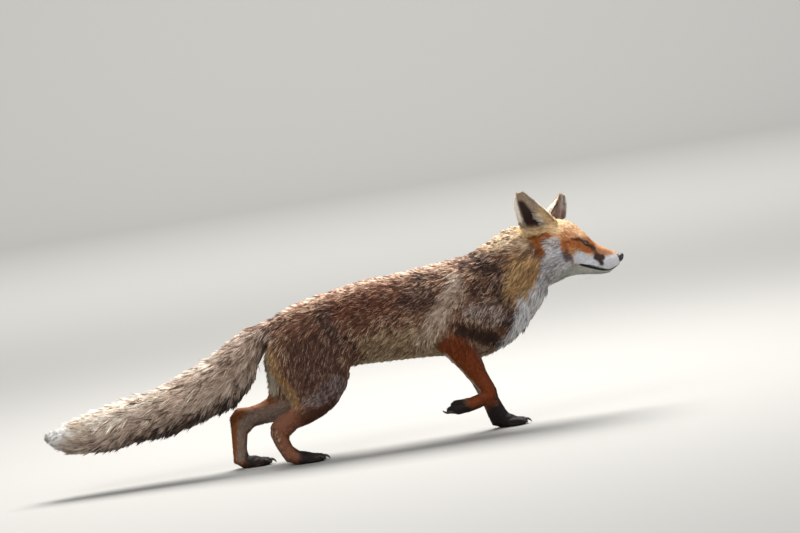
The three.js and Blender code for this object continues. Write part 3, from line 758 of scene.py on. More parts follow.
# Each row is a point, the hair's direction, a lock's length, width, lift and density, and any inset.
GUIDE_ROWS = {
    (Region.HEAD, Side.BOTH): (
        (545, 0, 284, -1, 0, 0.4, 2.6, 0.40, 10, 1.3),
        (525, 0, 298, -1, 0, 0.55, 4.4, 0.55, 13, 1.3),
        (528, 15, 276, -1, 0.25, 0.1, 3.8, 0.50, 12, 1.3),
        (508, 19, 278, -1, 0.2, 0.05, 5.0, 0.55, 12, 1.2),
        (505, 12, 256, -1, 0.1, -0.15, 5.0, 0.55, 14, 1.2),
        (494, 0, 322, -0.75, 0, 0.65, 5.5, 0.55, 12, 1.2),
        (484, 28, 298, -1, 0.35, -0.05, 6.0, 0.60, 12, 1.2),
        (481, 24, 328, -0.85, 0.2, 0.45, 5.5, 0.55, 12, 1.2),
        (466, 32, 316, -1, 0.3, 0.05, 6.5, 0.60, 12, 1.2),
        (464, 0, 356, -0.9, 0, 0.45, 8.0, 0.65, 15, 1.1),
        (428, 0, 370, -1, 0, 0.0, 10, 0.75, 18, 0.9),
        (452, 40, 338, -1, 0.2, 0.3, 8.5, 0.70, 14, 1.0),
        (455, 44, 300, -1, 0.3, -0.3, 10, 0.75, 15, 0.9),
        (428, 56, 312, -0.95, 0.3, -0.3, 14, 0.85, 20, 0.8),
        (420, 56, 282, -0.85, 0.32, -0.5, 19, 0.95, 24, 0.75),
        (420, 38, 262, -0.85, 0.2, -0.5, 18, 0.95, 22, 0.75),
        (470, 0, 257, -1, 0, -0.1, 7.5, 0.65, 14, 1.0),
        (430, 0, 254, -0.85, 0, -0.5, 16, 0.90, 20, 0.75),
        (402, 40, 352, -1, 0.15, -0.1, 13, 0.85, 20, 0.8),
    ),
    (Region.HEAD, Side.RIGHT): (
        (404, -36, 362, -0.5, -0.3, 0.8, 8, 0.65, 14, 0.9),
        (386, -46, 392, -0.36, -0.3, 0.88, 5.5, 0.55, 11, 1.0),
        (377, -57, 425, -0.2, -0.2, 0.95, 4.5, 0.50, 11, 1.0),
    ),
    (Region.HEAD, Side.LEFT): (
        (432, 30, 360, 0.1, 0.4, 0.9, 8, 0.65, 14, 0.9),
        (442, 44, 386, 0.4, 0.33, 0.85, 5.5, 0.55, 11, 1.0),
        (453, 54, 408, 0.4, 0.33, 0.85, 4.5, 0.50, 11, 1.0),
    ),
    (Region.NECK, Side.BOTH): (
        (362, 0, 366, -0.92, 0, -0.25, 18, 0.85, 38, 0.56),
        (318, 0, 350, -0.94, 0, -0.34, 20, 0.90, 34, 0.52, 3.0),
        (385, 56, 318, -0.9, 0.1, -0.4, 22, 1.05, 24, 0.50),
        (372, 64, 288, -0.75, 0, -0.65, 24, 1.10, 24, 0.48),
        (330, 68, 272, -0.78, 0, -0.62, 25, 1.15, 22, 0.46),
        (400, 30, 240, -0.5, 0.05, -0.87, 26, 1.10, 24, 0.50),
        (372, 0, 198, -0.62, 0, -0.78, 28, 1.20, 24, 0.46),
        (330, 40, 176, -0.8, 0.05, -0.6, 27, 1.20, 22, 0.46),
    ),
    (Region.TRUNK, Side.BOTH): (
        (300, 0, 152, -0.97, 0, -0.2, 25, 1.20, 20, 0.44),
        (260, 0, 330, -1, 0, -0.1, 21, 0.95, 29, 0.52, 4.0),
        (150, 0, 320, -1, 0, -0.03, 21, 0.95, 28, 0.52, 5.0),
        (20, 0, 307, -1, 0, -0.10, 21, 0.95, 28, 0.52, 5.0),
        (-75, 0, 288, -0.92, 0, -0.38, 22, 1.00, 28, 0.50, 5.5),
        (255, 76, 278, -0.80, 0, -0.60, 20, 0.95, 23, 0.52),
        (240, 80, 210, -0.66, 0, -0.75, 18, 0.95, 21, 0.52),
        (150, 76, 276, -0.92, 0, -0.40, 21, 1.00, 22, 0.50),
        (140, 78, 222, -0.86, 0, -0.50, 21, 1.00, 22, 0.50),
        (130, 68, 176, -0.78, 0, -0.62, 23, 1.05, 23, 0.48),
        (50, 68, 265, -0.90, 0, -0.42, 21, 1.00, 22, 0.50),
        (45, 60, 190, -0.80, 0, -0.60, 22, 1.00, 22, 0.50),
        (150, 0, 150, -1, 0, -0.12, 24, 1.20, 20, 0.44),
        (30, 20, 155, -0.9, 0, -0.4, 22, 1.15, 20, 0.44),
        (-50, 68, 262, -0.72, 0, -0.70, 24, 1.15, 20, 0.46),
    ),
    (Region.HIND, Side.BOTH): (
        (-45, 80, 210, -0.45, 0, -0.89, 19, 1.05, 18, 0.50),
        (-20, 78, 160, -0.40, 0, -0.91, 16, 1.00, 17, 0.55),
        (-112, 50, 215, -0.35, 0, -0.94, 22, 1.10, 22, 0.48),
        (-104, 40, 160, -0.2, 0, -0.98, 17, 1.00, 20, 0.52),
        (-50, 18, 150, -0.4, 0, -0.9, 13, 0.95, 16, 0.55),
    ),
    (Region.HIND, Side.RIGHT): (
        (0, -58, 122, -0.45, 0, -0.89, 12, 0.85, 15, 0.65),
        (-50, -56, 92, -0.85, 0, -0.52, 9, 0.75, 13, 0.75),
        (-92, -50, 84, -0.90, 0, -0.42, 7.5, 0.65, 12, 0.80),
        (-124, -42, 66, -0.45, 0, -0.89, 6.5, 0.60, 12, 0.85),
        (-116, -40, 38, 0.22, 0, -0.97, 6.5, 0.60, 12, 0.85),
        (-92, -40, 18, 0.85, 0, -0.5, 6.0, 0.60, 12, 0.85),
        (-60, -40, 14, 0.97, 0, -0.2, 5.0, 0.55, 12, 0.90),
    ),
    (Region.HIND, Side.LEFT): (
        (-30, 60, 122, -0.6, 0, -0.8, 12, 0.85, 15, 0.65),
        (-95, 54, 100, -0.95, 0, -0.2, 9, 0.75, 13, 0.75),
        (-150, 50, 98, -1, 0, 0, 7.5, 0.65, 12, 0.80),
        (-198, 42, 92, -0.5, 0, -0.87, 6.5, 0.60, 12, 0.85),
        (-203, 40, 50, -0.05, 0, -1, 6.5, 0.60, 12, 0.85),
        (-192, 40, 18, 0.8, 0, -0.6, 6.0, 0.60, 12, 0.85),
        (-160, 40, 14, 0.97, 0, -0.2, 5.0, 0.55, 12, 0.90),
    ),
    (Region.FORE, Side.BOTH): (
        (225, 70, 180, -0.25, 0, -0.97, 13, 0.90, 16, 0.60),
        (196, 50, 172, -0.1, 0, -1, 12, 0.85, 18, 0.62),
    ),
    (Region.FORE, Side.RIGHT): (
        (232, -56, 132, 0.32, 0, -0.95, 8.5, 0.70, 13, 0.78),
        (254, -50, 96, 0.36, 0, -0.93, 7, 0.60, 12, 0.85),
        (266, -44, 70, -0.3, 0, -0.95, 6, 0.60, 12, 0.88),
        (240, -41, 60, -0.93, 0, -0.36, 6, 0.60, 12, 0.88),
        (205, -41, 58, -0.97, 0, -0.22, 5, 0.55, 12, 0.90),
    ),
    (Region.FORE, Side.LEFT): (
        (238, 56, 128, 0.26, 0, -0.96, 8.5, 0.70, 13, 0.78),
        (256, 50, 88, 0.26, 0, -0.96, 7, 0.60, 12, 0.85),
        (272, 42, 48, 0.25, 0, -0.97, 6, 0.60, 12, 0.88),
        (282, 40, 20, 0.8, 0, -0.6, 6, 0.60, 12, 0.88),
        (312, 40, 14, 0.97, 0, -0.2, 5, 0.55, 12, 0.90),
    ),
    (Region.TAIL, Side.BOTH): (
        (-130, 0, 270, -0.86, 0, -0.50, 30, 1.10, 22, 0.48, 4.0),
        (-140, 30, 235, -0.80, 0.05, -0.60, 30, 1.10, 24, 0.48),
        (-160, 0, 190, -0.70, 0, -0.72, 32, 1.05, 24, 0.48),
        (-215, 0, 228, -0.88, 0, -0.42, 36, 1.05, 22, 0.48, 9.0),
        (-215, 42, 172, -0.86, 0.05, -0.50, 38, 1.05, 24, 0.48),
        (-222, 0, 124, -0.90, 0, -0.44, 38, 1.05, 26, 0.48),
        (-300, 0, 190, -0.93, 0, -0.35, 40, 1.05, 22, 0.48, 9.0),
        (-300, 46, 142, -0.93, 0.05, -0.36, 40, 1.05, 23, 0.48),
        (-300, 0, 95, -0.96, 0, -0.30, 40, 1.05, 25, 0.48),
        (-400, 4, 166, -0.95, 0, -0.28, 40, 1.05, 21, 0.48, 8.0),
        (-400, 44, 124, -0.96, 0.05, -0.26, 40, 1.05, 22, 0.48),
        (-400, 4, 82, -0.98, 0, -0.18, 40, 1.05, 24, 0.48),
        (-480, 6, 148, -0.95, 0, -0.26, 31, 1.10, 18, 0.50, 4.0),
        (-480, 6, 76, -0.99, 0, 0.10, 31, 1.10, 18, 0.50),
        (-512, 8, 132, -1, 0, -0.12, 28, 1.00, 13, 0.75, 1.5),
        (-512, 8, 92, -1, 0, 0.22, 26, 1.00, 13, 0.75, 1.0),
        (-545, 8, 120, -1, 0, 0.12, 15, 0.75, 8, 1.00),
    ),
}
GUIDES = tuple(
    Guide(row[:3], row[3:6], *row[6:10], region, side, *row[10:])
    for (region, side), rows in GUIDE_ROWS.items()
    for row in rows
)
GUIDE_REACH = 7.0  # distance within which one guide rules alone
GUIDE_FALL = 1.8  # how fast a guide's say falls with the squared distance
AT_ONCE = 20000  # points blended in one go
ROOT_SINK = 0.8  # how deep in the skin the locks start
RISE, SETTLE = 1.45, 0.55  # a lock's lift in its first and last part
BEND_AT = 0.42  # share of a lock's length before it settles
SHOWN_AT = 0.3  # share of its length at which most of it shows


class Lie:
    """The lie of the coat anywhere on the skin, blended from the guides.

    Attributes:
        depth: Column of the coat's depth among a point's values.
        length: Column of the locks' length.
        width: Column of their width.
        lift: Column of their lift.
        density: Column of their density.
        least_depth: Depth of the thinnest coat.
    """

    depth, length, width, lift, density = 3, 4, 5, 6, 7
    least_depth: float = 0.4

    def __init__(self) -> None:
        """Lays out the guides, the mirrored ones too."""
        rows, regions = [], []
        names = list(Region)
        for guide in GUIDES:
            sides = (1, -1) if guide.side is Side.BOTH and guide.at[1] != 0 else (1,)
            lift = math.radians(guide.lift)
            rise = BEND_AT * math.sin(RISE * lift) + (1 - BEND_AT) * math.sin(SETTLE * lift)
            depth = max(guide.length * rise - ROOT_SINK, self.least_depth) + guide.inset
            for sign in sides:
                at = (guide.at[0], sign * guide.at[1], guide.at[2])
                along = (guide.along[0], sign * guide.along[1], guide.along[2])
                rows.append((*at, *along, depth, guide.length, guide.width, guide.lift, guide.density))
                regions.append(names.index(guide.region))
        self.table = np.array(rows, float)
        self.regions = np.array(regions)
        self.names = names

    def at(self, places: Array) -> tuple[Array, Array]:
        """The blended guide values at some points.

        Args:
            places: Points in millimetres.

        Returns:
            Rows of direction, depth, length, width, lift and density, and the
            number of the region of each point.
        """
        values = np.empty((len(places), self.table.shape[1] - 3))
        regions = np.empty(len(places), int)
        for begin in range(0, len(places), AT_ONCE):
            part = slice(begin, begin + AT_ONCE)
            apart = places[part, None, :] - self.table[None, :, :3]
            squared = np.einsum("ijk,ijk->ij", apart, apart)
            weight = 1 / (squared + GUIDE_REACH**2) ** GUIDE_FALL
            weight /= weight.sum(1, keepdims=True)
            values[part] = weight @ self.table[:, 3:]
            share = np.stack([weight[:, self.regions == i].sum(1) for i in range(len(self.names))])
            regions[part] = share.argmax(0)
        return values, regions


LIE = Lie()


# ---------------------------------------------------------------- finishes


class NodeBench:
    """Builds one material's nodes."""

    def __init__(self, name: str) -> None:
        """Starts a material with one Principled shader.

        Args:
            name: The material's name.
        """
        self.material = bpy.data.materials.new(name)
        self.material.use_nodes = True
        self.tree = self.material.node_tree
        self.tree.nodes.clear()
        self.shader = self.add("ShaderNodeBsdfPrincipled")
        output = self.add("ShaderNodeOutputMaterial")
        self.link(self.shader.outputs["BSDF"], output.inputs["Surface"])

    def add(self, kind: str, **settings: object) -> bpy.types.Node:
        """A new node with its properties set.

        Args:
            kind: Its kind.
            settings: Its properties.

        Returns:
            The node.
        """
        node = self.tree.nodes.new(kind)
        for key, value in settings.items():
            setattr(node, key, value)
        return node

    def link(self, source: Socket, target: Socket) -> None:
        """Joins two sockets."""
        self.tree.links.new(source, target)

    def coloured(self, source: Socket) -> None:
        """Gives the shader its colour."""
        self.link(source, self.shader.inputs["Base Color"])

    def set(self, **values: object) -> None:
        """Sets the shader's own sockets, with _ for a space in their names."""
        for key, value in values.items():
            self.shader.inputs[key.replace("_", " ")].default_value = value

    def painted(self, attribute: str) -> Socket:
        """The colour kept in an attribute."""
        return self.add("ShaderNodeAttribute", attribute_name=attribute).outputs["Color"]

    def noise(self, scale: float, detail: float = 3.0) -> Socket:
        """Noise on the object's own coordinates.

        Args:
            scale: How fine it is.
            detail: How many finer layers it has.

        Returns:
            Its value, from 0 to 1.
        """
        place = self.add("ShaderNodeTexCoord").outputs["Object"]
        node = self.add("ShaderNodeTexNoise")
        node.inputs["Scale"].default_value = scale
        node.inputs["Detail"].default_value = detail
        self.link(place, node.inputs["Vector"])
        return node.outputs["Fac"]

    def ranged(self, source: Socket, low: float, high: float) -> Socket:
        """A value of 0 to 1 spread between two others.

        Args:
            source: The value.
            low: What 0 becomes.
            high: What 1 becomes.

        Returns:
            The new value.
        """
        node = self.add("ShaderNodeMapRange")
        node.inputs["To Min"].default_value = low
        node.inputs["To Max"].default_value = high
        self.link(source, node.inputs["Value"])
        return node.outputs["Result"]

    def shaded(self, colour: Socket, amount: Socket) -> Socket:
        """A colour made darker or lighter by a value.

        Args:
            colour: The colour.
            amount: What it is multiplied by.

        Returns:
            The new colour.
        """
        node = self.add("ShaderNodeMix", data_type="RGBA", blend_type="MULTIPLY")
        node.inputs["Factor"].default_value = 1.0
        self.link(colour, node.inputs[6])
        self.link(amount, node.inputs[7])
        return node.outputs[2]

    def bumped(self, height: Socket, depth: float, strength: float) -> None:
        """Puts a bump on the shader.

        Args:
            height: Its height, from 0 to 1.
            depth: Height of 1, in metres.
            strength: Its strength.
        """
        bump = self.add("ShaderNodeBump")
        bump.inputs["Strength"].default_value = strength
        bump.inputs["Distance"].default_value = depth
        self.link(height, bump.inputs["Height"])
        self.link(bump.outputs["Normal"], self.shader.inputs["Normal"])


@dataclass(frozen=True)
class HairFinish:
    """Hair, coloured by the lock, with a soft sheen.

    Attributes:
        name: The material's name.
        roughness: Roughness of the hair.
        sheen: Weight of the sheen.
        streaks: Noise scale of the fine streaks.
    """

    name: str = "coat_hair"
    roughness: float = 0.62
    sheen: float = 0.06
    streaks: float = 900.0

    def made(self) -> Material:
        """Makes the material.

        Returns:
            The material.
        """
        bench = NodeBench(self.name)
        shade = bench.ranged(bench.noise(self.streaks, 1.0), 0.86, 1.14)
        bench.coloured(bench.shaded(bench.painted(COLOUR_LAYER), shade))
        bench.set(Roughness=self.roughness, Specular_IOR_Level=0.2)
        bench.set(Sheen_Weight=self.sheen, Sheen_Roughness=0.4)
        return bench.material


@dataclass(frozen=True)
class SkinFinish:
    """The skin under the coat: short downy hair over dark skin."""

    name: str = "fox_skin"
    grain: float = 1400.0
    roughness: float = 0.72

    def made(self) -> Material:
        """Makes the material.

        Returns:
            The material.
        """
        bench = NodeBench(self.name)
        grain = bench.noise(self.grain, 4.0)
        bench.coloured(bench.shaded(bench.painted(COLOUR_LAYER), bench.ranged(grain, 0.75, 1.2)))
        bench.set(Roughness=self.roughness, Specular_IOR_Level=0.25)
        bench.bumped(grain, 0.0006, 0.5)
        return bench.material


@dataclass(frozen=True)
class EyeFinish:
    """A wet eye, painted by the iris attribute."""

    name: str = "fox_eye"

    def made(self) -> Material:
        """Makes the material.

        Returns:
            The material.
        """
        bench = NodeBench(self.name)
        fibres = bench.ranged(bench.noise(2600.0, 2.0), 0.8, 1.15)
        bench.coloured(bench.shaded(bench.painted(COLOUR_LAYER), fibres))
        bench.set(Roughness=0.30, Coat_Weight=0.6, Coat_Roughness=0.03, Specular_IOR_Level=0.3)
        return bench.material


@dataclass(frozen=True)
class LeatherFinish:
    """Bare dark skin with a fine pebbled grain, as on the nose and lids.

    Attributes:
        name: The material's name.
        colour: Its colour.
        roughness: Its roughness at the middle of the range.
        pebbles: Cell scale of the grain.
        depth: Depth of the grain, in metres.
    """

    name: str
    colour: Triple
    roughness: float
    pebbles: float
    depth: float

    def made(self) -> Material:
        """Makes the material.

        Returns:
            The material.
        """
        bench = NodeBench(self.name)
        place = bench.add("ShaderNodeTexCoord").outputs["Object"]
        cells = bench.add("ShaderNodeTexVoronoi", feature="DISTANCE_TO_EDGE")
        cells.inputs["Scale"].default_value = self.pebbles
        bench.link(place, cells.inputs["Vector"])
        tint = bench.add("ShaderNodeRGB")
        tint.outputs[0].default_value = (*srgb(*self.colour), 1.0)
        shade = bench.ranged(bench.noise(500.0), 0.7, 1.4)
        bench.coloured(bench.shaded(tint.outputs[0], shade))
        gloss = bench.ranged(bench.noise(800.0), self.roughness - 0.1, self.roughness + 0.12)
        bench.link(gloss, bench.shader.inputs["Roughness"])
        bench.set(Specular_IOR_Level=0.5)
        bench.bumped(cells.outputs["Distance"], self.depth, 0.6)
        return bench.material


@dataclass(frozen=True)
class HornFinish:
    """Claw horn, dark with paler mottling and a fine bumped grain, both from noise."""

    name: str = "claw_horn"
    dark: Triple = (26, 21, 19)
    pale: Triple = (78, 64, 54)

    def made(self) -> Material:
        """Makes the material.

        Returns:
            The material.
        """
        bench = NodeBench(self.name)
        grain = bench.noise(700.0, 5.0)
        ramp = bench.add("ShaderNodeValToRGB")
        stops = ((self.dark, 0.35), (self.pale, 0.8))
        for element, (colour, position) in zip(ramp.color_ramp.elements, stops):
            element.color = (*srgb(*colour), 1.0)
            element.position = position
        bench.link(grain, ramp.inputs["Fac"])
        bench.coloured(ramp.outputs["Color"])
        bench.set(Roughness=0.38, Specular_IOR_Level=0.5)
        bench.bumped(grain, 0.0002, 0.4)
        return bench.material


@dataclass(frozen=True)
class StudioFinish:
    """The plain pale studio surface."""

    name: str = "studio_floor"
    shade: Triple = (148, 147, 144)

    def made(self) -> Material:
        """Makes the material.

        Returns:
            The material.
        """
        bench = NodeBench(self.name)
        bench.set(Base_Color=(*srgb(*self.shade), 1.0), Roughness=0.9, Specular_IOR_Level=0.1)
        return bench.material


def paint(piece: Piece, colours: Array) -> None:
    """Keeps a colour on each of the piece's vertices.

    Args:
        piece: The piece.
        colours: One linear colour for each vertex.
    """
    layer = piece.data.color_attributes.new(COLOUR_LAYER, "FLOAT_COLOR", "POINT")
    rows = np.concatenate([colours, np.ones((len(colours), 1))], axis=1)
    layer.data.foreach_set("color", rows.astype(np.float32).ravel())


def finish_piece(piece: Piece, material: Material, slot: str, *nodes: str) -> None:
    """Dresses a piece and ties it to the frame.

    Args:
        piece: The finished mesh object.
        material: Its material.
        slot: The record's material slot; not used.
        nodes: CAD nodes that it stands for.
    """
    piece.data.materials.clear()
    piece.data.materials.append(material)
    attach(piece, "root")
    if nodes:
        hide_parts(*nodes)
    LOG.info("%s: %d faces", piece.name, len(piece.data.polygons))


# ---------------------------------------------------------------- eyes


@dataclass
class EyePlan:
    """Where an eye sits and how its lids open.

    Attributes:
        side: Side of the head.
        radius: Radius of the ball.
        sunk: How far the ball sits inwards of its place in the solids.
        gaze: Direction of the gaze on the left side.
        corner_line: Direction from the rear corner to the front one, left side.
        half_length: Angle from the middle of the opening to a corner.
        upper: Angle from the middle of the opening to the upper lid.
        lower: Angle from the middle of the opening to the lower lid.
        raised: How far it sits above its place in the solids.
        ahead: How far it sits ahead of that place.
        lid: Thickness of the lids.
        centre: Middle of the ball.
        axes: Directions towards the front corner, up and along the gaze.
    """

    side: Side
    radius: float = 8.3
    sunk: float = 0.9
    gaze: Triple = (0.52, 0.83, 0.16)
    corner_line: Triple = (0.68, -0.30, -0.67)
    half_length: float = 1.16
    upper: float = 0.36
    lower: float = 0.38
    raised: float = 1.2
    ahead: float = -2.6
    lid: float = 1.0
    centre: Array = field(init=False)
    axes: Array = field(init=False)

    def __post_init__(self) -> None:
        """Reads the eye's place and works out its axes."""
        node = "eye_right" if self.side is Side.RIGHT else "eye_left"
        low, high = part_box(node)
        sign = np.array([1, self.side.value, 1], float)
        gaze = unit(np.array(self.gaze) * sign)
        line = np.array(self.corner_line) * sign
        line = unit(line - (line @ gaze) * gaze)
        up = np.cross(gaze, line)
        up = up if up[2] > 0 else -up
        self.axes = np.stack([line, up, gaze])
        middle = (np.array(low) + np.array(high)) / 2 / MM
        inwards = np.array([0.2, self.side.value, 0])
        self.centre = middle - inwards * self.sunk + np.array([self.ahead, 0, self.raised])

    def angles(self, places: Array) -> tuple[Array, Array, Array]:
        """How far along and above the opening's middle points lie.

        Args:
            places: Points in millimetres.

        Returns:
            Angle towards the front corner, angle up, and distance from the centre.
        """
        seen = (places - self.centre) @ self.axes.T
        away = np.linalg.norm(seen, axis=1)
        forward = np.maximum(seen[:, 2], 1e-6)
        behind = seen[:, 2] < 0
        along = np.where(behind, np.sign(seen[:, 0]) * 2.0, np.arctan2(seen[:, 0], forward))
        above = np.where(behind, np.sign(seen[:, 1]) * 2.0, np.arctan2(seen[:, 1], forward))
        return along, above, away

    def lid_angle(self, along: Array, upper: bool) -> Array:
        """How far above or below the middle a lid's edge is.

        Args:
            along: Angles towards the front corner.
            upper: Whether it is the upper lid.

        Returns:
            The edge's angles.
        """
        share = (np.abs(along) / self.half_length).clip(0, 1)
        height = self.upper if upper else -self.lower
        fullness = (1 - share**2.2) ** 0.85
        return height * fullness - 0.05 * (along / self.half_length) ** 2 * (1 if upper else 0)

    def outside(self, along: Array, above: Array) -> Array:
        """How far outside the opening a direction is, as an angle.

        Args:
            along: Angles towards the front corner.
            above: Angles up.

        Returns:
            Angles, negative inside the opening.
        """
        over = above - self.lid_angle(along, True)
        under = self.lid_angle(along, False) - above
        beyond = (np.abs(along) - self.half_length) * 0.8
        return np.maximum(np.maximum(over, under), beyond)

    def around(self, places: Array) -> tuple[Array, Array]:
        """How far from the eye points lie, and how far outside its opening.

        Args:
            places: Points in millimetres.

        Returns:
            Distance from the centre and angle outside the opening.
        """
        along, above, away = self.angles(places)
        return away, self.outside(along, above)

    def on_ball(self, along: Array, above: Array, radius: float) -> Array:
        """Points at two angles, at a distance from the centre."""
        seen = np.stack([np.tan(along), np.tan(above), np.ones_like(along)], axis=1)
        return self.centre + unit(seen) @ self.axes * radius


EYES = (EyePlan(Side.RIGHT), EyePlan(Side.LEFT))


@dataclass
class Eyes:
    """Both eyeballs and the dark rims of their lids.

    Attributes:
        rings: Rings of the ball's mesh.
        segments: Segments of the ball's mesh.
        iris_angle: Angle from the gaze to the iris's edge.
        pupil_half_width: Half the slit's width on a ball of radius one.
        pupil_half_height: Half its height.
        rim_radius: Radius of the lids' edge.
        rim_points: Points round the opening.
        rim_sides: Sides of the edge's section.
        amber: Colour of the iris, darkened as painted shade over the narrowed eye.
        deep: Colour of its dark fibres, darkened the same way.
        limbus: Colour of its edge.
        white: Colour of the ball round it.
        pupil: Colour of the pupil.
    """

    rings: int = 72
    segments: int = 96
    iris_angle: float = 0.62
    pupil_half_width: float = 0.10
    pupil_half_height: float = 0.40
    rim_radius: float = 0.9
    rim_points: int = 56
    rim_sides: int = 8
    # Painted shade: the iris colours are darker than its own, as shade over the narrowed eye.
    amber: Triple = (112, 66, 26)
    deep: Triple = (44, 24, 11)
    limbus: Triple = (24, 14, 8)
    white: Triple = (92, 72, 58)
    pupil: Triple = (5, 4, 4)

    def build(self) -> None:
        """Makes the eyes and lids."""
        eye_finish = EyeFinish().made()
        lid_finish = LeatherFinish("eyelid_skin", (20, 15, 14), 0.6, 1800.0, 0.0002).made()
        for plan in EYES:
            label = plan.side.name.lower()
            finish_piece(self.ball(plan, f"eyeball_{label}"), eye_finish, "eye", f"eye_{label}")
            finish_piece(self.rims(plan, f"eyelids_{label}"), lid_finish, "nose")

    def ball(self, plan: EyePlan, name: str) -> Piece:
        """An eyeball with a raised cornea, painted with iris and pupil.

        Args:
            plan: Where the eye sits.
            name: The piece's name.

        Returns:
            The mesh object.
        """
        deselect()
        bpy.ops.mesh.primitive_uv_sphere_add(segments=self.segments, ring_count=self.rings, radius=1)
        ball = bpy.context.object
        ball.name = name
        local = places_of(ball) * MM
        angle = np.arccos(local[:, 2].clip(-1, 1))
        bulge = 0.055 * (1 - step(0.45, 0.85, angle))
        move_to(ball, plan.centre + (local * (1 + bulge[:, None])) @ plan.axes * plan.radius)
        bpy.ops.object.shade_smooth()
        paint(ball, self.iris_colours(local, angle))
        return ball

    def iris_colours(self, local: Array, angle: Array) -> Array:
        """Colours of the iris, its slit pupil and the dark white of the eye.

        Args:
            local: Points on a ball of radius one.
            angle: Their angles from the gaze.

        Returns:
            One colour for each point.
        """
        around = np.arctan2(local[:, 1], local[:, 0])
        tints = (self.amber, self.deep, self.limbus, self.white, self.pupil)
        amber, deep, limbus, white, pupil = (srgb(*tint) for tint in tints)
        ray = 0.5 + 0.5 * np.sin(around * 23) * np.sin(around * 9 + 1)
        depth = (0.35 * ray + 0.75 * angle / self.iris_angle).clip(0, 1)[:, None]
        colour = amber + depth * (deep - amber)
        colour = colour + step(0.50, self.iris_angle, angle)[:, None] * (limbus - colour)
        colour = colour + step(self.iris_angle, 0.72, angle)[:, None] * (white - colour)
        slit = np.hypot(local[:, 0] / self.pupil_half_width, local[:, 1] / self.pupil_half_height)
        inside = (1 - step(0.85, 1.15, slit)) * (local[:, 2] > 0)
        return colour + inside[:, None] * (pupil - colour)

    def rims(self, plan: EyePlan, name: str) -> Piece:
        """The bare dark edge of both lids, as a closed round cord of skin.

        Args:
            plan: Where the eye sits.
            name: The piece's name.

        Returns:
            The mesh object.
        """
        share = np.linspace(-1, 1, self.rim_points // 2, endpoint=False)
        sweep = plan.half_length * np.sin(share * math.pi / 2)
        above = np.concatenate([plan.lid_angle(sweep, True), plan.lid_angle(-sweep, False)])
        along = np.concatenate([sweep, -sweep])
        path = plan.on_ball(along, above, plan.radius + 0.25)
        sizes = self.rim_radius * (1 + 0.25 * np.cos(along))
        return cord(name, path, sizes, self.rim_sides)


def cord(name: str, path: Array, sizes: Array, sides: int) -> Piece:
    """A round cord of changing thickness that joins its own start.

    Args:
        name: The piece's name.
        path: Its middle line, in millimetres.
        sizes: Its radius at each point of the line.
        sides: How many sides it has.

    Returns:
        The mesh object.
    """
    count = len(path)
    tangent = unit(np.roll(path, -1, 0) - np.roll(path, 1, 0))
    side = np.empty_like(path)
    last = np.cross(tangent[0], [0.3, 0.2, 1.0])
    for i in range(count):
        last = unit(last - (last @ tangent[i]) * tangent[i])
        side[i] = last
    other = np.cross(tangent, side)
    turn = np.arange(sides) / sides * 2 * math.pi
    ring = side[:, None] * np.cos(turn)[None, :, None] + other[:, None] * np.sin(turn)[None, :, None]
    points = (path[:, None] + ring * sizes[:, None, None]).reshape(-1, 3)
    faces = []
    for i in range(count):
        here, there = i * sides, (i + 1) % count * sides
        for j in range(sides):
            beside = (j + 1) % sides
            faces.append((here + j, here + beside, there + beside, there + j))
    return mesh_piece(name, points, faces)


def mesh_piece(name: str, points: Array, faces: Faces) -> Piece:
    """A smooth-shaded mesh object with its faces turned outwards.

    Args:
        name: The piece's name.
        points: Its points, in millimetres.
        faces: Its faces, as numbers of points.

    Returns:
        The mesh object.
    """
    mesh = bpy.data.meshes.new(name)
    mesh.from_pydata((np.asarray(points) * MM).tolist(), [], faces)
    work = bmesh.new()
    work.from_mesh(mesh)
    bmesh.ops.recalc_face_normals(work, faces=work.faces)
    work.to_mesh(mesh)
    work.free()
    mesh.shade_smooth()
    return placed(name, mesh)


# ---------------------------------------------------------------- skin


MOUTH = (
    (468, 281), (477, 276.5), (486, 272.3), (496, 268.2),
    (506.5, 263.8), (515.5, 261.1), (525, 262.2), (533, 265.8),
)


def mouth_distance(places: Array) -> Array:
    """Distance in side view from points to the closed mouth's line.

    Args:
        places: Points in millimetres.

    Returns:
        One distance for each point.
    """
    flat = places[:, [0, 2]]
    return np.minimum.reduce([distance_to_line(flat, start, end) for start, end in zip(MOUTH, MOUTH[1:])])


def lip_half_width(places: Array) -> Array:
    """Half the height of the bare black lip, least at the front."""
    return 3.0 - 2.5 * step(496, 524, places[:, 0])


@dataclass(frozen=True)
class Swell:
    """A soft rise or dent of the face, on both sides.

    Attributes:
        at: Its middle on the left side.
        reach: Distance at which it has faded.
        rise: Height, or depth if negative.
    """

    at: Triple
    reach: float
    rise: float


FACE_SHAPE = (
    Swell((484, 22, 327), 13, 1.8),
    Swell((468, 34, 326), 12, 1.2),
    Swell((500, 18, 303), 12, -1.6),
    Swell((488, 27, 303), 10, -0.6),
    Swell((516, 17, 273), 13, 1.6),
    Swell((462, 44, 304), 20, 1.5),
    Swell((476, 30, 285), 12, -0.8),
    Swell((497, 0, 318), 10, -0.8),
    Swell((452, 30, 352), 16, -1.4),
    Swell((520, 0, 256), 9, 1.0),
    Swell((537, 8, 270), 9, 1.8),
)


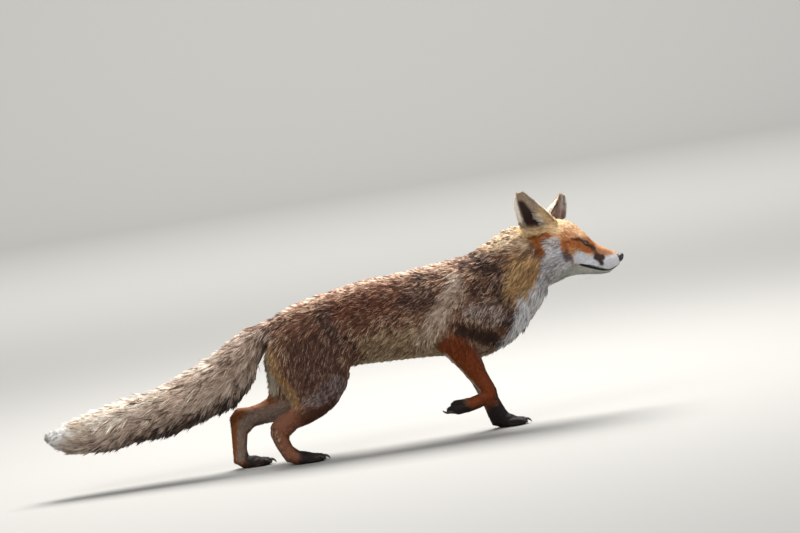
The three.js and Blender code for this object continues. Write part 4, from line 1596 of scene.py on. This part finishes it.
@dataclass
class Skin:
    """The one skin that stands for all the solids of flesh.

    Attributes:
        flesh: The solids' nodes.
        swell: How much the solids are swollen before they join.
        grid: Grid size of the joined surface.
        kept: Share of its faces kept on the body.
        kept_under_coat: Share of those kept once it is drawn in.
        fine_reach: How far round the eyes it is finer.
        bare: Colour of lids, lips and pads.
        piece: The skin itself.
    """

    flesh: tuple[str, ...] = (
        "trunk", "neck", "head", "lower_jaw", "eye_right", "eye_left", "ear_right", "ear_left",
        "tail", "tail_tip",
        "thigh_right", "shank_right", "hind_foot_right", "thigh_left", "shank_left", "hind_foot_left",
        "shoulder_right", "forearm_right", "forepaw_right", "shoulder_left", "forearm_left", "forepaw_left",
    )
    swell: float = 0.3
    grid: float = 1.35
    kept: float = 0.34
    kept_under_coat: float = 0.46
    fine_reach: float = 14.0
    bare: Triple = (22, 17, 16)
    piece: Piece = field(init=False)

    def build(self) -> Piece:
        """Makes the skin.

        Returns:
            The mesh object.
        """
        self.join()
        self.remesh()
        self.thin(self.kept)
        self.sink_under_coat()
        self.thin(self.kept_under_coat)
        self.unwrap()
        self.refine()
        self.model_face()
        self.open_eyes()
        self.paint()
        return self.piece

    def join(self) -> None:
        """Joins copies of the solids of flesh, a little swollen."""
        copies = []
        for name in self.flesh:
            copy = node_copy(name)
            move_to(copy, places_of(copy) + self.swell * normals_of(copy))
            copies.append(copy)
        activate(copies[0])
        for copy in copies:
            copy.select_set(True)
        bpy.ops.object.join()
        self.piece = bpy.context.object
        self.piece.name = self.piece.data.name = "fox_skin"

    def remesh(self) -> None:
        """Turns the joined solids into one even surface, smoothest on the body."""
        modified(self.piece, "REMESH", mode="VOXEL", voxel_size=self.grid * MM)
        places = places_of(self.piece)
        edges = edges_of(self.piece)
        places = relaxed(places, edges, 6, 0.6)
        move_to(self.piece, relaxed(places, edges, 22, 0.6 * (1 - self.detail_share(places))))

    def thin(self, share: float) -> None:
        """Leaves fewer faces, but as many as it can on the head and paws.

        Args:
            share: Share of the faces that stay.
        """
        group = self.piece.vertex_groups.new(name="coarse")
        levels = np.round((1 - self.detail_share(places_of(self.piece))) * 10).astype(int)
        for level in range(1, 11):
            group.add(np.flatnonzero(levels == level).tolist(), level / 10, "REPLACE")
        modified(self.piece, "DECIMATE", ratio=share, vertex_group=group.name)
        self.piece.vertex_groups.clear()

    def detail_share(self, places: Array) -> Array:
        """Where the shape is fine.

        Args:
            places: Points in millimetres.

        Returns:
            1 on the head, ears and paws, 0 on the rest of the body.
        """
        head = step(405, 440, places[:, 0] + 0.6 * (places[:, 2] - 300))
        ears = step(352, 366, places[:, 2]) * step(350, 362, places[:, 0])
        paws = 1 - step(26, 44, places[:, 2])
        lifted = (places[:, 1] < 0) * step(172, 180, places[:, 0]) * (1 - step(70, 92, places[:, 2]))
        return np.maximum.reduce([head, ears, paws, lifted])

    def unwrap(self) -> None:
        """Lays the skin's own shape out flat."""
        while self.piece.data.uv_layers:
            self.piece.data.uv_layers.remove(self.piece.data.uv_layers[0])
        self.piece.data.uv_layers.new(name=BAKE_MAP)
        with editing(self.piece):
            bpy.ops.uv.smart_project(angle_limit=math.radians(72), island_margin=0.002)

    def sink_under_coat(self) -> None:
        """Draws the surface in by the coat's depth."""
        places = places_of(self.piece)
        edges = edges_of(self.piece)
        values, _ = LIE.at(places)
        normals = unit(relaxed(normals_of(self.piece), edges, 4))
        depth = relaxed(values[:, LIE.depth], edges, 8) + self.swell
        move_to(self.piece, places - normals * depth[:, None])
        move_to(self.piece, relaxed(places_of(self.piece), edges, 10, 0.55 * step(2.0, 6.0, depth)))

    def refine(self) -> None:
        """Divides the faces round the eyes and mouth."""
        activate(self.piece)
        for reach in (self.fine_reach, self.fine_reach - 2):
            centres = read(self.piece.data.polygons, "center", 3).astype(float) / MM
            near = (mouth_distance(centres) < reach / 4) & (centres[:, 0] > 460) & (np.abs(centres[:, 1]) > 3)
            for plan in EYES:
                near |= np.linalg.norm(centres - plan.centre, axis=1) < reach
            bpy.ops.object.mode_set(mode="EDIT")
            bpy.ops.mesh.select_mode(type="FACE")
            bpy.ops.mesh.select_all(action="DESELECT")
            bpy.ops.object.mode_set(mode="OBJECT")
            self.piece.data.polygons.foreach_set("select", near)
            bpy.ops.object.mode_set(mode="EDIT")
            bpy.ops.mesh.subdivide(number_cuts=1)
            bpy.ops.mesh.select_all(action="SELECT")
            bpy.ops.mesh.quads_convert_to_tris(quad_method="BEAUTY", ngon_method="BEAUTY")
            bpy.ops.object.mode_set(mode="OBJECT")

    def model_face(self) -> None:
        """Models brows, cheeks, whisker pads and the closed mouth."""
        places = places_of(self.piece)
        edges = edges_of(self.piece)
        on_face = step(452, 470, places[:, 0])
        places = relaxed(places, edges, 6, 0.5 * on_face)
        move_to(self.piece, places)
        normals = unit(relaxed(normals_of(self.piece), edges, 3))
        mirrored = folded(places)
        rise = np.zeros(len(places))
        for swell in FACE_SHAPE:
            away = np.linalg.norm(mirrored - np.array(swell.at, float), axis=1)
            rise += swell.rise * np.exp(-((away / swell.reach) ** 2) * 2)
        seam = mouth_distance(places)
        on_side = step(3, 6, np.abs(places[:, 1])) * step(464, 470, places[:, 0])
        rise -= on_side * 1.5 * np.exp(-((seam / 1.1) ** 2))
        rise += on_side * 0.5 * np.exp(-(((seam - 2.6) / 1.4) ** 2))
        move_to(self.piece, places + normals * rise[:, None])

    def open_eyes(self) -> None:
        """Lays lids over each eyeball and opens them."""
        places = places_of(self.piece)
        for plan in EYES:
            away, outside = plan.around(places)
            near = (away < plan.radius * 1.9) & (places[:, 1] * plan.side.value > 0)
            direction = unit(places - plan.centre)
            lid = plan.radius + plan.lid
            clear = np.maximum(away, lid)
            fitted = clear + (1 - step(0.10, 0.95, outside)) * (lid - clear)
            inner = plan.radius * 0.88
            target = inner + step(-0.03, 0.05, outside) * (fitted - inner)
            moved = plan.centre + direction * target[:, None]
            places = np.where(near[:, None], moved, places)
        move_to(self.piece, places)

    def paint(self) -> None:
        """Gives the skin the coat's own markings, darker, with painted shade under the deep coat and black
        lids and lips.
        """
        places = places_of(self.piece)
        normals = normals_of(self.piece)
        tones = tones_at(places, normals)
        # Painted shade: the skin is darker where the coat over it is deep.
        colours = tones[:, :3] * darker_skin_and_painted_shade(places)[:, None]
        lip = lip_half_width(places)
        bare = (1 - step(lip, lip + 0.7, mouth_distance(places))) * (np.abs(places[:, 1]) > 3)
        for plan in EYES:
            away, outside = plan.around(places)
            bare = np.maximum(bare, (away < plan.radius * 1.6) * (1 - step(0.12, 0.30, outside)))
        pads = (1 - step(3, 7, places[:, 2])) * step(0.4, 0.8, -normals[:, 2])
        bare = np.maximum(bare, pads)[:, None]
        paint(self.piece, colours + bare * (srgb(*self.bare) - colours))
        self.piece.data.shade_smooth()


def darker_skin_and_painted_shade(places: Array) -> Array:
    """How much darker than the hair the skin is: darker everywhere, and darker still with painted shade where
    the coat over it is deep.
    """
    values, _ = LIE.at(places)
    return 0.75 - 0.35 * step(2, 8, values[:, LIE.depth])


# ---------------------------------------------------------------- coat


@dataclass
class Locks:
    """Where some locks grow.

    Attributes:
        at: Their places on the skin, in millimetres.
        normal: The skin's directions there.
        spot: Their places on the bake map.
        values: The guide values there.
        region: Numbers of their regions.
    """

    at: Array
    normal: Array
    spot: Array
    values: Array
    region: Array

    def chosen(self, numbers: Array) -> "Locks":
        """The locks with some numbers."""
        return Locks(*(getattr(self, kept.name)[numbers] for kept in fields(self)))


@dataclass
class Coat:
    """The fur: tapered locks that grow from the skin.

    Attributes:
        locks: How many locks it has.
        seed: Seed of its random source.
        most_per_piece: Most locks in one piece.
        patch: Size of a lock's patch on the bake map.
        clump_size: Breadth of a clump as a share of a lock's length.
        clump_pull: How far the tips of a clump draw together.
        least_clump: Breadth of the smallest clumps.
        floor_gap: Least height of a lock's points.
        fringe_growth: How much longer the hairs of the ears' fringe are.
        fringe_lift: How much more they stand up, in degrees.
        widths: Least and greatest share of its width that a lock has.
        lengths: Least and greatest share of its length.
        lifts: Least and greatest share of its lift.
        lie_spread: How much the directions of single locks differ.
        length_spread: How much their lengths differ.
        lift_spread: How much their lifts differ.
        shade_spread: How much their brightness differs.
    """

    locks: int = 366000
    seed: int = 20
    most_per_piece: int = 49500
    patch: float = 0.003
    clump_size: float = 0.14
    clump_pull: float = 0.55
    least_clump: float = 2.6
    floor_gap: float = 0.5
    fringe_growth: float = 0.9
    fringe_lift: float = 16
    widths: tuple[float, float] = (0.7, 1.25)
    lengths: tuple[float, float] = (0.45, 1.5)
    lifts: tuple[float, float] = (0.3, 2.0)
    lie_spread: float = 0.12
    length_spread: float = 0.11
    lift_spread: float = 0.16
    shade_spread: float = 0.09

    def build(self, skin: Piece) -> None:
        """Grows the whole coat and parts it into pieces.

        Args:
            skin: The finished skin.
        """
        finish = HairFinish().made()
        draw = np.random.default_rng(self.seed)
        whole = self.rooted(skin, draw)
        for name, numbers in self.pieces(whole):
            part = whole.chosen(numbers)
            clump = self.clumped(part)
            points, normals = self.shaped(part, clump, draw)
            colours = self.coloured(part, clump, draw)
            finish_piece(self.locks_mesh(name, part, points, normals, colours), finish, "coat_red")

    def rooted(self, skin: Piece, draw: Draw) -> Locks:
        """Chooses where the locks grow.

        Args:
            skin: The skin they grow from.
            draw: The random source.

        Returns:
            All locks.
        """
        mesh = skin.data
        mesh.calc_loop_triangles()
        corners = read(mesh.loop_triangles, "vertices", 3, np.int32)
        loops = read(mesh.loop_triangles, "loops", 3, np.int32)
        maps = read(mesh.uv_layers[BAKE_MAP].data, "uv", 2)
        places, normals = places_of(skin), normals_of(skin)
        soft_normals = unit(relaxed(normals, edges_of(skin), 3))
        a, b, c = (places[corners[:, i]] for i in range(3))
        area = np.linalg.norm(np.cross(b - a, c - a), axis=1) / 2
        middle = (a + b + c) / 3
        values, _ = LIE.at(middle)
        facing = normals[corners[:, 0]]
        hope = area * values[:, LIE.density]
        hope *= 1 - (middle[:, 2] < 6) * (facing[:, 2] < -0.55)
        hope *= self.growing(middle)
        for ear in EARS:
            hope *= 1 + 0.6 * ear.fringed(middle, facing)
        chosen = np.searchsorted(np.cumsum(hope) / hope.sum(), draw.random(self.locks))
        chosen = chosen.clip(0, len(corners) - 1)
        share = draw.random((self.locks, 2))
        flip = share.sum(1) > 1
        share[flip] = 1 - share[flip]
        weights = np.stack([1 - share.sum(1), share[:, 0], share[:, 1]], axis=1)
        at, normal, spot = (
            np.einsum("ij,ijk->ik", weights, rows[numbers[chosen]])
            for rows, numbers in ((places, corners), (soft_normals, corners), (maps, loops))
        )
        return Locks(at, unit(normal), spot, *LIE.at(at))

    def growing(self, places: Array) -> Array:
        """Where hair grows.

        Args:
            places: Points in millimetres.

        Returns:
            1 where it grows and 0 on lids, lips and nose.
        """
        lips = (mouth_distance(places) < lip_half_width(places)) & (np.abs(places[:, 1]) > 3)
        grows = ~lips & (places[:, 0] < NOSE_FRONT)
        for plan in EYES:
            away, outside = plan.around(places)
            grows &= (away >= plan.radius * 1.7) | (outside > 0.19)
        return grows.astype(float)

    def pieces(self, whole: Locks) -> list[tuple[str, Array]]:
        """Parts the coat by region and side, and from back to front.

        Args:
            whole: All locks.

        Returns:
            Names of the pieces and numbers of their locks.
        """
        made = []
        right = whole.at[:, 1] < 0
        for number, region in enumerate(LIE.names):
            for label, on_side in (("right", right), ("left", ~right)):
                numbers = np.flatnonzero((whole.region == number) & on_side)
                numbers = numbers[np.argsort(whole.at[numbers, 0])]
                parts = math.ceil(len(numbers) / self.most_per_piece)
                for order, some in enumerate(np.array_split(numbers, parts)):
                    made.append((f"coat_{region.value}_{label}_{order + 1}", some))
        return made

    def clumped(self, part: Locks) -> Array:
        """Sorts locks into clumps.

        Args:
            part: The locks.

        Returns:
            Each lock's clump number.
        """
        size = self.clump_span(part.values)
        cell = np.floor((part.at + 0.45 * size * ripples(part.at, size * 3, 81)) / size).astype(int)
        key = (cell[:, 0] * 4096 + cell[:, 1]) * 4096 + cell[:, 2]
        return np.unique(key, return_inverse=True)[1]

    def clump_span(self, values: Array) -> float:
        """Breadth of the clumps of one piece."""
        return max(self.clump_size * float(np.median(values[:, LIE.length])), self.least_clump)

    def clump_mean(self, clump: Array, rows: Array) -> Array:
        """Each row's mean over its clump.

        Args:
            clump: Each row's clump number.
            rows: The rows.

        Returns:
            The mean of its clump for each row.
        """
        count = np.bincount(clump)
        sums = np.stack([np.bincount(clump, column) for column in rows.T], axis=1)
        return (sums / count[:, None])[clump]

    def shaped(self, part: Locks, clump: Array, draw: Draw) -> tuple[Array, Array]:
        """The four points of each lock: root, left, right and tip.

        Args:
            part: The locks.
            clump: Each lock's clump number.
            draw: The random source.

        Returns:
            The points and their shading normals.
        """
        at, normal, values = part.at, part.normal, part.values.copy()
        count = len(at)
        fringe = np.zeros(count)
        for ear in EARS:
            own = ear.fringed(at, normal)
            back = unit(0.6 * ear.axis() - 0.8 * np.array(ear.across))
            values[:, :3] += own[:, None] * (3 * back - values[:, :3])
            fringe += own
        length = values[:, LIE.length] * (1 + self.fringe_growth * fringe)
        lift = np.radians(values[:, LIE.lift] + self.fringe_lift * fringe)
        long_share = step(5, 22, length)
        lots = draw.random((clump.max() + 1, 3))[clump] - 0.5
        lie = unit(values[:, :3]) + (0.08 + 0.08 * long_share)[:, None] * ripples(at, 30, 31)
        lie += (0.30 + 0.45 * long_share)[:, None] * lots + draw.normal(0, self.lie_spread, (count, 3))
        along = unit(lie - np.einsum("ij,ij->i", lie, normal)[:, None] * normal)
        across = np.cross(normal, along)
        growth = 1 + 0.30 * lots[:, 0] + draw.normal(0, self.length_spread, count)
        length = length * growth.clip(*self.lengths)
        length *= self.shortened(at)
        half = (values[:, LIE.width] * draw.uniform(*self.widths, count) / 2)[:, None]
        rise = 1 + 0.5 * lots[:, 1] * long_share + draw.normal(0, self.lift_spread, count)
        lift = lift * rise.clip(*self.lifts)
        root = at - ROOT_SINK * normal
        middle = root + (BEND_AT * length)[:, None] * self.tilted(along, normal, lift * RISE)
        tip = middle + ((1 - BEND_AT) * length)[:, None] * self.tilted(along, normal, lift * SETTLE)
        pull = self.clump_pull * (0.25 + 0.75 * long_share) * draw.uniform(0.5, 1.2, count)
        gather = self.clump_mean(clump, tip) - tip
        tip += pull[:, None] * gather
        middle += 0.35 * pull[:, None] * gather
        points = np.stack([root, middle + across * half, middle - across * half, tip], axis=1)
        points[:, :, 2] = np.maximum(points[:, :, 2], self.floor_gap)
        away = (at - self.clump_mean(clump, at)) / self.clump_span(values)
        bulge = normal + (0.2 + 0.5 * long_share)[:, None] * away
        lean, turn = 0.30 * along, 0.45 * across
        normals = np.stack([bulge - lean, bulge + turn, bulge - turn, bulge + lean], axis=1)
        return points, unit(normals)

    def tilted(self, along: Array, normal: Array, lift: Array) -> Array:
        """Directions along the skin, raised from it by an angle."""
        return np.cos(lift)[:, None] * along + np.sin(lift)[:, None] * normal

    def shortened(self, at: Array) -> Array:
        """Shorter locks beside the eyes, lips and nose.

        Args:
            at: The locks' places.

        Returns:
            The share of its length that each lock has.
        """
        share = np.ones(len(at))
        for plan in EYES:
            away, outside = plan.around(at)
            share *= np.where(away < plan.radius * 1.9, 0.6 + 0.4 * step(0.12, 0.7, outside), 1)
        share *= 0.55 + 0.45 * step(1, 5, np.where(at[:, 0] > 462, mouth_distance(at), 99))
        share *= 0.6 + 0.4 * step(0, 10, NOSE_FRONT - at[:, 0])
        return share

    def coloured(self, part: Locks, clump: Array, draw: Draw) -> Array:
        """Linear colours of each lock's four points.

        Args:
            part: The locks.
            clump: Each lock's clump number.
            draw: The random source.

        Returns:
            Four colours for each lock.
        """
        at, values = part.at, part.values
        count = len(at)
        shown = at + (SHOWN_AT * values[:, LIE.length])[:, None] * unit(values[:, :3])
        tones = tones_at(shown, part.normal)
        body, pale, dark = tones[:, 0:3], tones[:, 3:6], tones[:, 6:9]
        lots = draw.random(clump.max() + 1)[clump]
        lot = 0.46 * draw.random(count) + 0.54 * lots + 0.05 * ripple(at, 20, 62)
        is_pale = (lot < tones[:, 9])[:, None]
        is_dark = (lot > 1 - tones[:, 10])[:, None]
        tip = np.where(is_dark, dark, np.where(is_pale, pale, body * 1.12))
        middle = np.where(is_dark, 0.65 * body + 0.35 * dark, body)
        middle = np.where(is_pale, 0.80 * body + 0.20 * pale, middle)
        # Painted shade: the roots, and the middles of long locks, are darker where the coat is deep, as shade
        # inside the coat.
        depth = step(4, 20, values[:, LIE.length])[:, None]
        root = body * (0.82 - 0.50 * depth)
        middle = middle * (0.96 - 0.32 * depth)
        shade = (1 + draw.normal(0, self.shade_spread, count)).clip(0.6, 1.4)[:, None]
        return np.stack([root, middle * shade, middle * shade, tip * shade], axis=1).clip(0, 1)

    def locks_mesh(self, name: str, part: Locks, points: Array, normals: Array, colours: Array) -> Piece:
        """Joins the locks of one piece into a mesh.

        Args:
            name: The piece's name.
            part: The locks.
            points: Four points for each lock.
            normals: Four shading normals for each lock.
            colours: Four colours for each lock.

        Returns:
            The mesh object.
        """
        count = len(points)
        pattern = np.array([[0, 2, 1], [1, 2, 3], [0, 1, 3], [0, 3, 2]])
        faces = (pattern[None] + 4 * np.arange(count)[:, None, None]).reshape(-1, 3)
        mesh = bpy.data.meshes.new(name)
        mesh.vertices.add(count * 4)
        mesh.vertices.foreach_set("co", (points * MM).astype(np.float32).ravel())
        mesh.loops.add(faces.size)
        mesh.loops.foreach_set("vertex_index", faces.astype(np.int32).ravel())
        mesh.polygons.add(len(faces))
        mesh.polygons.foreach_set("loop_start", np.arange(0, faces.size, 3, dtype=np.int32))
        mesh.update(calc_edges=True)
        mesh.shade_smooth()
        layer = mesh.uv_layers.new(name=BAKE_MAP)
        step_out = self.patch / 2 * np.array([[-1, 0], [0, 1], [0, -1], [1, 0]])
        spots = (part.spot[:, None, :] + step_out[None]).reshape(-1, 2)
        layer.data.foreach_set("uv", spots[faces.ravel()].astype(np.float32).ravel())
        piece = placed(name, mesh)
        paint(piece, colours.reshape(-1, 3))
        mesh.normals_split_custom_set_from_vertices(normals.reshape(-1, 3).tolist())
        return piece


# ---------------------------------------------------------------- nose, whiskers, claws


@dataclass
class Nose:
    """The bare nose leather with its nostrils.

    Attributes:
        centre: Its middle.
        half: Half its length, width and height.
        nostril: Middle of the left nostril.
        nostril_half: Half the nostril's size.
        slit: Middle of the slit behind it, from the nostril.
        slit_half: Half the slit's size.
        lean: How far its top lies ahead, for each millimetre of height.
        nostril_depth: Depth of the nostrils.
        slit_depth: Depth of the slits.
        crease_depth: Depth of the crease down the front.
        crease_half: Half its width.
        segments: Segments of its mesh.
        rings: Rings of its mesh.
    """

    centre: Triple = (539.6, 0.0, 279.4)
    half: Triple = (8.0, 9.0, 8.2)
    nostril: Triple = (546.4, 4.7, 279.0)
    nostril_half: Triple = (4.0, 2.3, 2.0)
    slit: Triple = (-3.0, 3.6, -0.8)
    slit_half: Triple = (4.2, 3.0, 1.1)
    lean: float = 0.30
    nostril_depth: float = 3.2
    slit_depth: float = 1.6
    crease_depth: float = 0.9
    crease_half: float = 0.7
    segments: int = 96
    rings: int = 64

    def build(self) -> None:
        """Makes the nose."""
        deselect()
        bpy.ops.mesh.primitive_uv_sphere_add(segments=self.segments, ring_count=self.rings, radius=1)
        nose = bpy.context.object
        nose.name = "nose_leather"
        local = places_of(nose) * MM
        wide = 1 - 0.30 * np.maximum(-local[:, 2], 0)
        local = np.sign(local) * np.abs(local) ** 0.88 * np.array(self.half)
        local[:, 1] *= wide
        places = np.array(self.centre) + local
        places[:, 0] += self.lean * (places[:, 2] - self.centre[2])
        hole = folded(places) - np.array(self.nostril)
        pit = np.exp(-(np.linalg.norm(hole / np.array(self.nostril_half), axis=1) ** 2))
        hole = (hole - np.array(self.slit)) / np.array(self.slit_half)
        slit = np.exp(-(np.linalg.norm(hole, axis=1) ** 2))
        inward = unit(np.array(self.centre) - places)
        places = places + inward * (self.nostril_depth * pit + self.slit_depth * slit)[:, None]
        crease = np.exp(-((places[:, 1] / self.crease_half) ** 2))
        crease *= step(0, 6, self.centre[2] + 3 - places[:, 2]) * (places[:, 0] > self.centre[0])
        places = places + inward * (self.crease_depth * crease)[:, None]
        move_to(nose, places)
        bpy.ops.object.shade_smooth()
        finish = LeatherFinish("nose_leather", (20, 18, 19), 0.44, 1500.0, 0.0004)
        finish_piece(nose, finish.made(), "nose", "nose")


@dataclass
class Whiskers:
    """Fine dark whiskers on both sides of the muzzle.

    Attributes:
        rows: Rows on each side, from the top down.
        columns: Whiskers in a row, from the front back.
        root: Root of the first whisker of the left side.
        column_step: From one root to the next in a row.
        row_step: From one row's roots to the next row's.
        length: Length of the first whisker of a row.
        longer: How much longer each further one is.
        seed: Seed of their random source.
        radius: Radius at the root.
        stages: Shares of the length at which a whisker has points.
        sides: Sides of its section.
    """

    rows: int = 4
    columns: int = 5
    root: Triple = (530.0, 11.5, 279.0)
    column_step: Triple = (-5.0, 1.6, 0.0)
    row_step: Triple = (-1.0, 0.0, -3.8)
    length: float = 24.0
    longer: float = 7.0
    seed: int = 77
    radius: float = 0.17
    stages: tuple[float, ...] = (0, 0.25, 0.5, 0.75, 1)
    sides: int = 3

    def build(self) -> None:
        """Makes all whiskers as one piece."""
        draw = np.random.default_rng(self.seed)
        points, faces = [], []
        for side in (-1, 1):
            for row in range(self.rows):
                for column in range(self.columns):
                    root = np.array([1, column, row]) @ np.array([self.root, self.column_step, self.row_step])
                    root[1] *= side
                    length = (self.length + self.longer * column) * draw.uniform(0.85, 1.1)
                    heading = unit(np.array([-0.35 - 0.12 * column, side * 0.95, 0.12 - 0.16 * row]))
                    bow = unit(np.array([-1.0, 0.0, -0.25])) * draw.uniform(0.12, 0.3) * length
                    self.add_hair(points, faces, root, heading * length, bow)
        piece = mesh_piece("whiskers", np.array(points), faces)
        finish = LeatherFinish("whisker_hair", (30, 24, 22), 0.4, 2000.0, 0.0001)
        finish_piece(piece, finish.made(), "nose")

    def add_hair(self, points: list[Array], faces: Faces, root: Array, reach: Array, bow: Array) -> None:
        """Adds one tapered, drooping whisker.

        Args:
            points: Points made so far.
            faces: Faces made so far.
            root: Where it grows.
            reach: From there to where its tip would be if it were straight.
            bow: How far the tip droops from that.
        """
        side = unit(np.cross(reach, [0, 0, 1.0]))
        over = np.cross(side, unit(reach))
        first, sides = len(points), self.sides
        for share in self.stages:
            centre = root + reach * share + bow * share**2
            radius = self.radius * (1 - 0.8 * share)
            for corner in range(sides):
                turn = corner * 2 * math.pi / sides
                points.append(centre + radius * (math.cos(turn) * side + math.sin(turn) * over))
        last = len(points) - sides
        for start in range(first, last, sides):
            for corner in range(sides):
                a, b = start + corner, start + (corner + 1) % sides
                faces.append((a, b, b + sides, a + sides))
        faces.append(tuple(range(first, first + sides))[::-1])
        faces.append(tuple(range(last, last + sides)))


@dataclass
class Claws:
    """The claws of each paw, rounded from their solids.

    Attributes:
        paws: Names of the paws.
        count: Claws on each.
    """

    paws: tuple[str, ...] = ("hind_foot_right", "hind_foot_left", "forepaw_right", "forepaw_left")
    count: int = 4

    def build(self) -> None:
        """Makes one piece for each claw."""
        finish = HornFinish().made()
        for paw in self.paws:
            for number in range(1, self.count + 1):
                node = f"claw_{paw}_{number}"
                claw = node_copy(node)
                claw.name = claw.data.name = f"{node}_horn"
                modified(claw, "SUBSURF", levels=2, render_levels=2)
                bpy.ops.object.shade_smooth()
                finish_piece(claw, finish, "claw", node)


# ---------------------------------------------------------------- studio


@dataclass(frozen=True)
class Lamp:
    """A square lamp.

    Attributes:
        name: Its name.
        place: Where it hangs, in metres.
        size: Length of its side.
        power: Its power in watts.
        tint: Its colour.
        aim: Point that it faces.
    """

    name: str
    place: Triple
    size: float
    power: float
    tint: Triple
    aim: Triple = (0.05, 0.0, 0.2)

    def build(self) -> None:
        """Hangs the lamp."""
        data = bpy.data.lights.new(self.name, "AREA")
        data.size = self.size
        data.energy = self.power
        data.color = self.tint
        lamp = placed(self.name, data)
        lamp.location = self.place
        lamp.rotation_mode = "QUATERNION"
        lamp.rotation_quaternion = (Vector(self.aim) - Vector(self.place)).to_track_quat("-Z", "Y")


LAMPS = (
    Lamp("key", (-1.2, -2.6, 2.4), 2.2, 74.0, (1.0, 0.985, 0.96)),
    Lamp("fill", (2.4, -2.2, 1.2), 2.4, 24.0, (0.94, 0.97, 1.0)),
    Lamp("top", (0.25, 0.9, 2.5), 1.7, 215.0, (1.0, 0.98, 0.955)),
    Lamp("wall", (0.0, 5.0, 5.5), 5.0, 900.0, (1.0, 0.99, 0.97), (0.0, 11.0, 1.0)),
)


@dataclass
class Studio:
    """Floor, backdrop, lights and camera, in metres.

    Attributes:
        aim: Point at the middle of the view.
        width: Width of the view at that point.
        lens: Focal length, in millimetres.
        sensor: Width of the sensor, in millimetres.
        far: Distance past which nothing is seen.
        elevation: Height angle of the camera, in degrees.
        roll: Turn of the view, which makes the floor look sloped, in degrees.
        backdrop_start: How far behind the fox the floor starts to bend.
        backdrop_bend: Radius of the bend.
        backdrop_steps: Flat parts of the bend.
        backdrop_height: Height of the wall.
        floor_reach: How far the floor goes to each side and in front.
        sky: Colour of the light from all round.
        sky_strength: Its strength.
    """

    aim: Triple = (0.1405, 0.0, 0.326)
    width: float = 1.464
    lens: float = 200.0
    sensor: float = 36.0
    far: float = 60.0
    elevation: float = 4.0
    roll: float = 9.0
    backdrop_start: float = 9.0
    backdrop_bend: float = 2.0
    backdrop_steps: int = 16
    backdrop_height: float = 7.0
    floor_reach: float = 16.0
    sky: Triple = (0.93, 0.95, 1.0)
    sky_strength: float = 0.50

    def build(self) -> None:
        """Makes the studio."""
        self.camera()
        self.backdrop()
        self.lights()

    def camera(self) -> None:
        """Sets up the camera, a little above the floor and turned."""
        data = bpy.data.cameras.new("camera")
        data.lens = self.lens
        data.sensor_width = self.sensor
        data.clip_end = self.far
        camera = placed("camera", data)
        tilt, roll = math.radians(self.elevation), math.radians(self.roll)
        right = Vector((1, 0, 0))
        up = Vector((0, math.sin(tilt), math.cos(tilt)))
        back = Vector((0, -math.cos(tilt), math.sin(tilt)))
        turned_right = math.cos(roll) * right - math.sin(roll) * up
        turned_up = math.sin(roll) * right + math.cos(roll) * up
        place = Vector(self.aim) + back * (self.width * self.lens / self.sensor)
        camera.matrix_world = Matrix([*zip(turned_right, turned_up, back, place), (0, 0, 0, 1)])
        bpy.context.scene.camera = camera

    def backdrop(self) -> None:
        """A floor that bends up into a wall far behind."""
        profile = [(-self.floor_reach, 0.0), (self.backdrop_start, 0.0)]
        for i in range(1, self.backdrop_steps + 1):
            turn = i / self.backdrop_steps * math.pi / 2
            reach = self.backdrop_start + self.backdrop_bend * math.sin(turn)
            profile.append((reach, self.backdrop_bend * (1 - math.cos(turn))))
        profile.append((profile[-1][0], self.backdrop_height))
        points = [(x, y, z) for y, z in profile for x in (-self.floor_reach, self.floor_reach)]
        faces = [(i, i + 1, i + 3, i + 2) for i in range(0, len(points) - 2, 2)]
        mesh = bpy.data.meshes.new("studio_floor")
        mesh.from_pydata(points, [], faces)
        mesh.shade_smooth()
        floor = placed("studio_floor", mesh)
        mesh.materials.append(StudioFinish().made())

    def lights(self) -> None:
        """Soft light from above, with a stronger one behind for the coat's edge."""
        for lamp in LAMPS:
            lamp.build()
        world = bpy.data.worlds.new("studio_world")
        world.use_nodes = True
        inputs = world.node_tree.nodes["Background"].inputs
        inputs["Color"].default_value = (*self.sky, 1.0)
        inputs["Strength"].default_value = self.sky_strength
        bpy.context.scene.view_settings.view_transform = "Standard"
        bpy.context.scene.world = world


def main() -> None:
    """Builds the fox and its studio."""
    logging.basicConfig(level=logging.INFO, format="%(name)s %(relativeCreated)d %(message)s")
    Studio().build()
    skin = Skin().build()
    finish_piece(skin, SkinFinish().made(), "coat_red", *Skin.flesh)
    Eyes().build()
    Nose().build()
    Whiskers().build()
    Claws().build()
    Coat().build(skin)


if __name__ == "__main__":
    main()
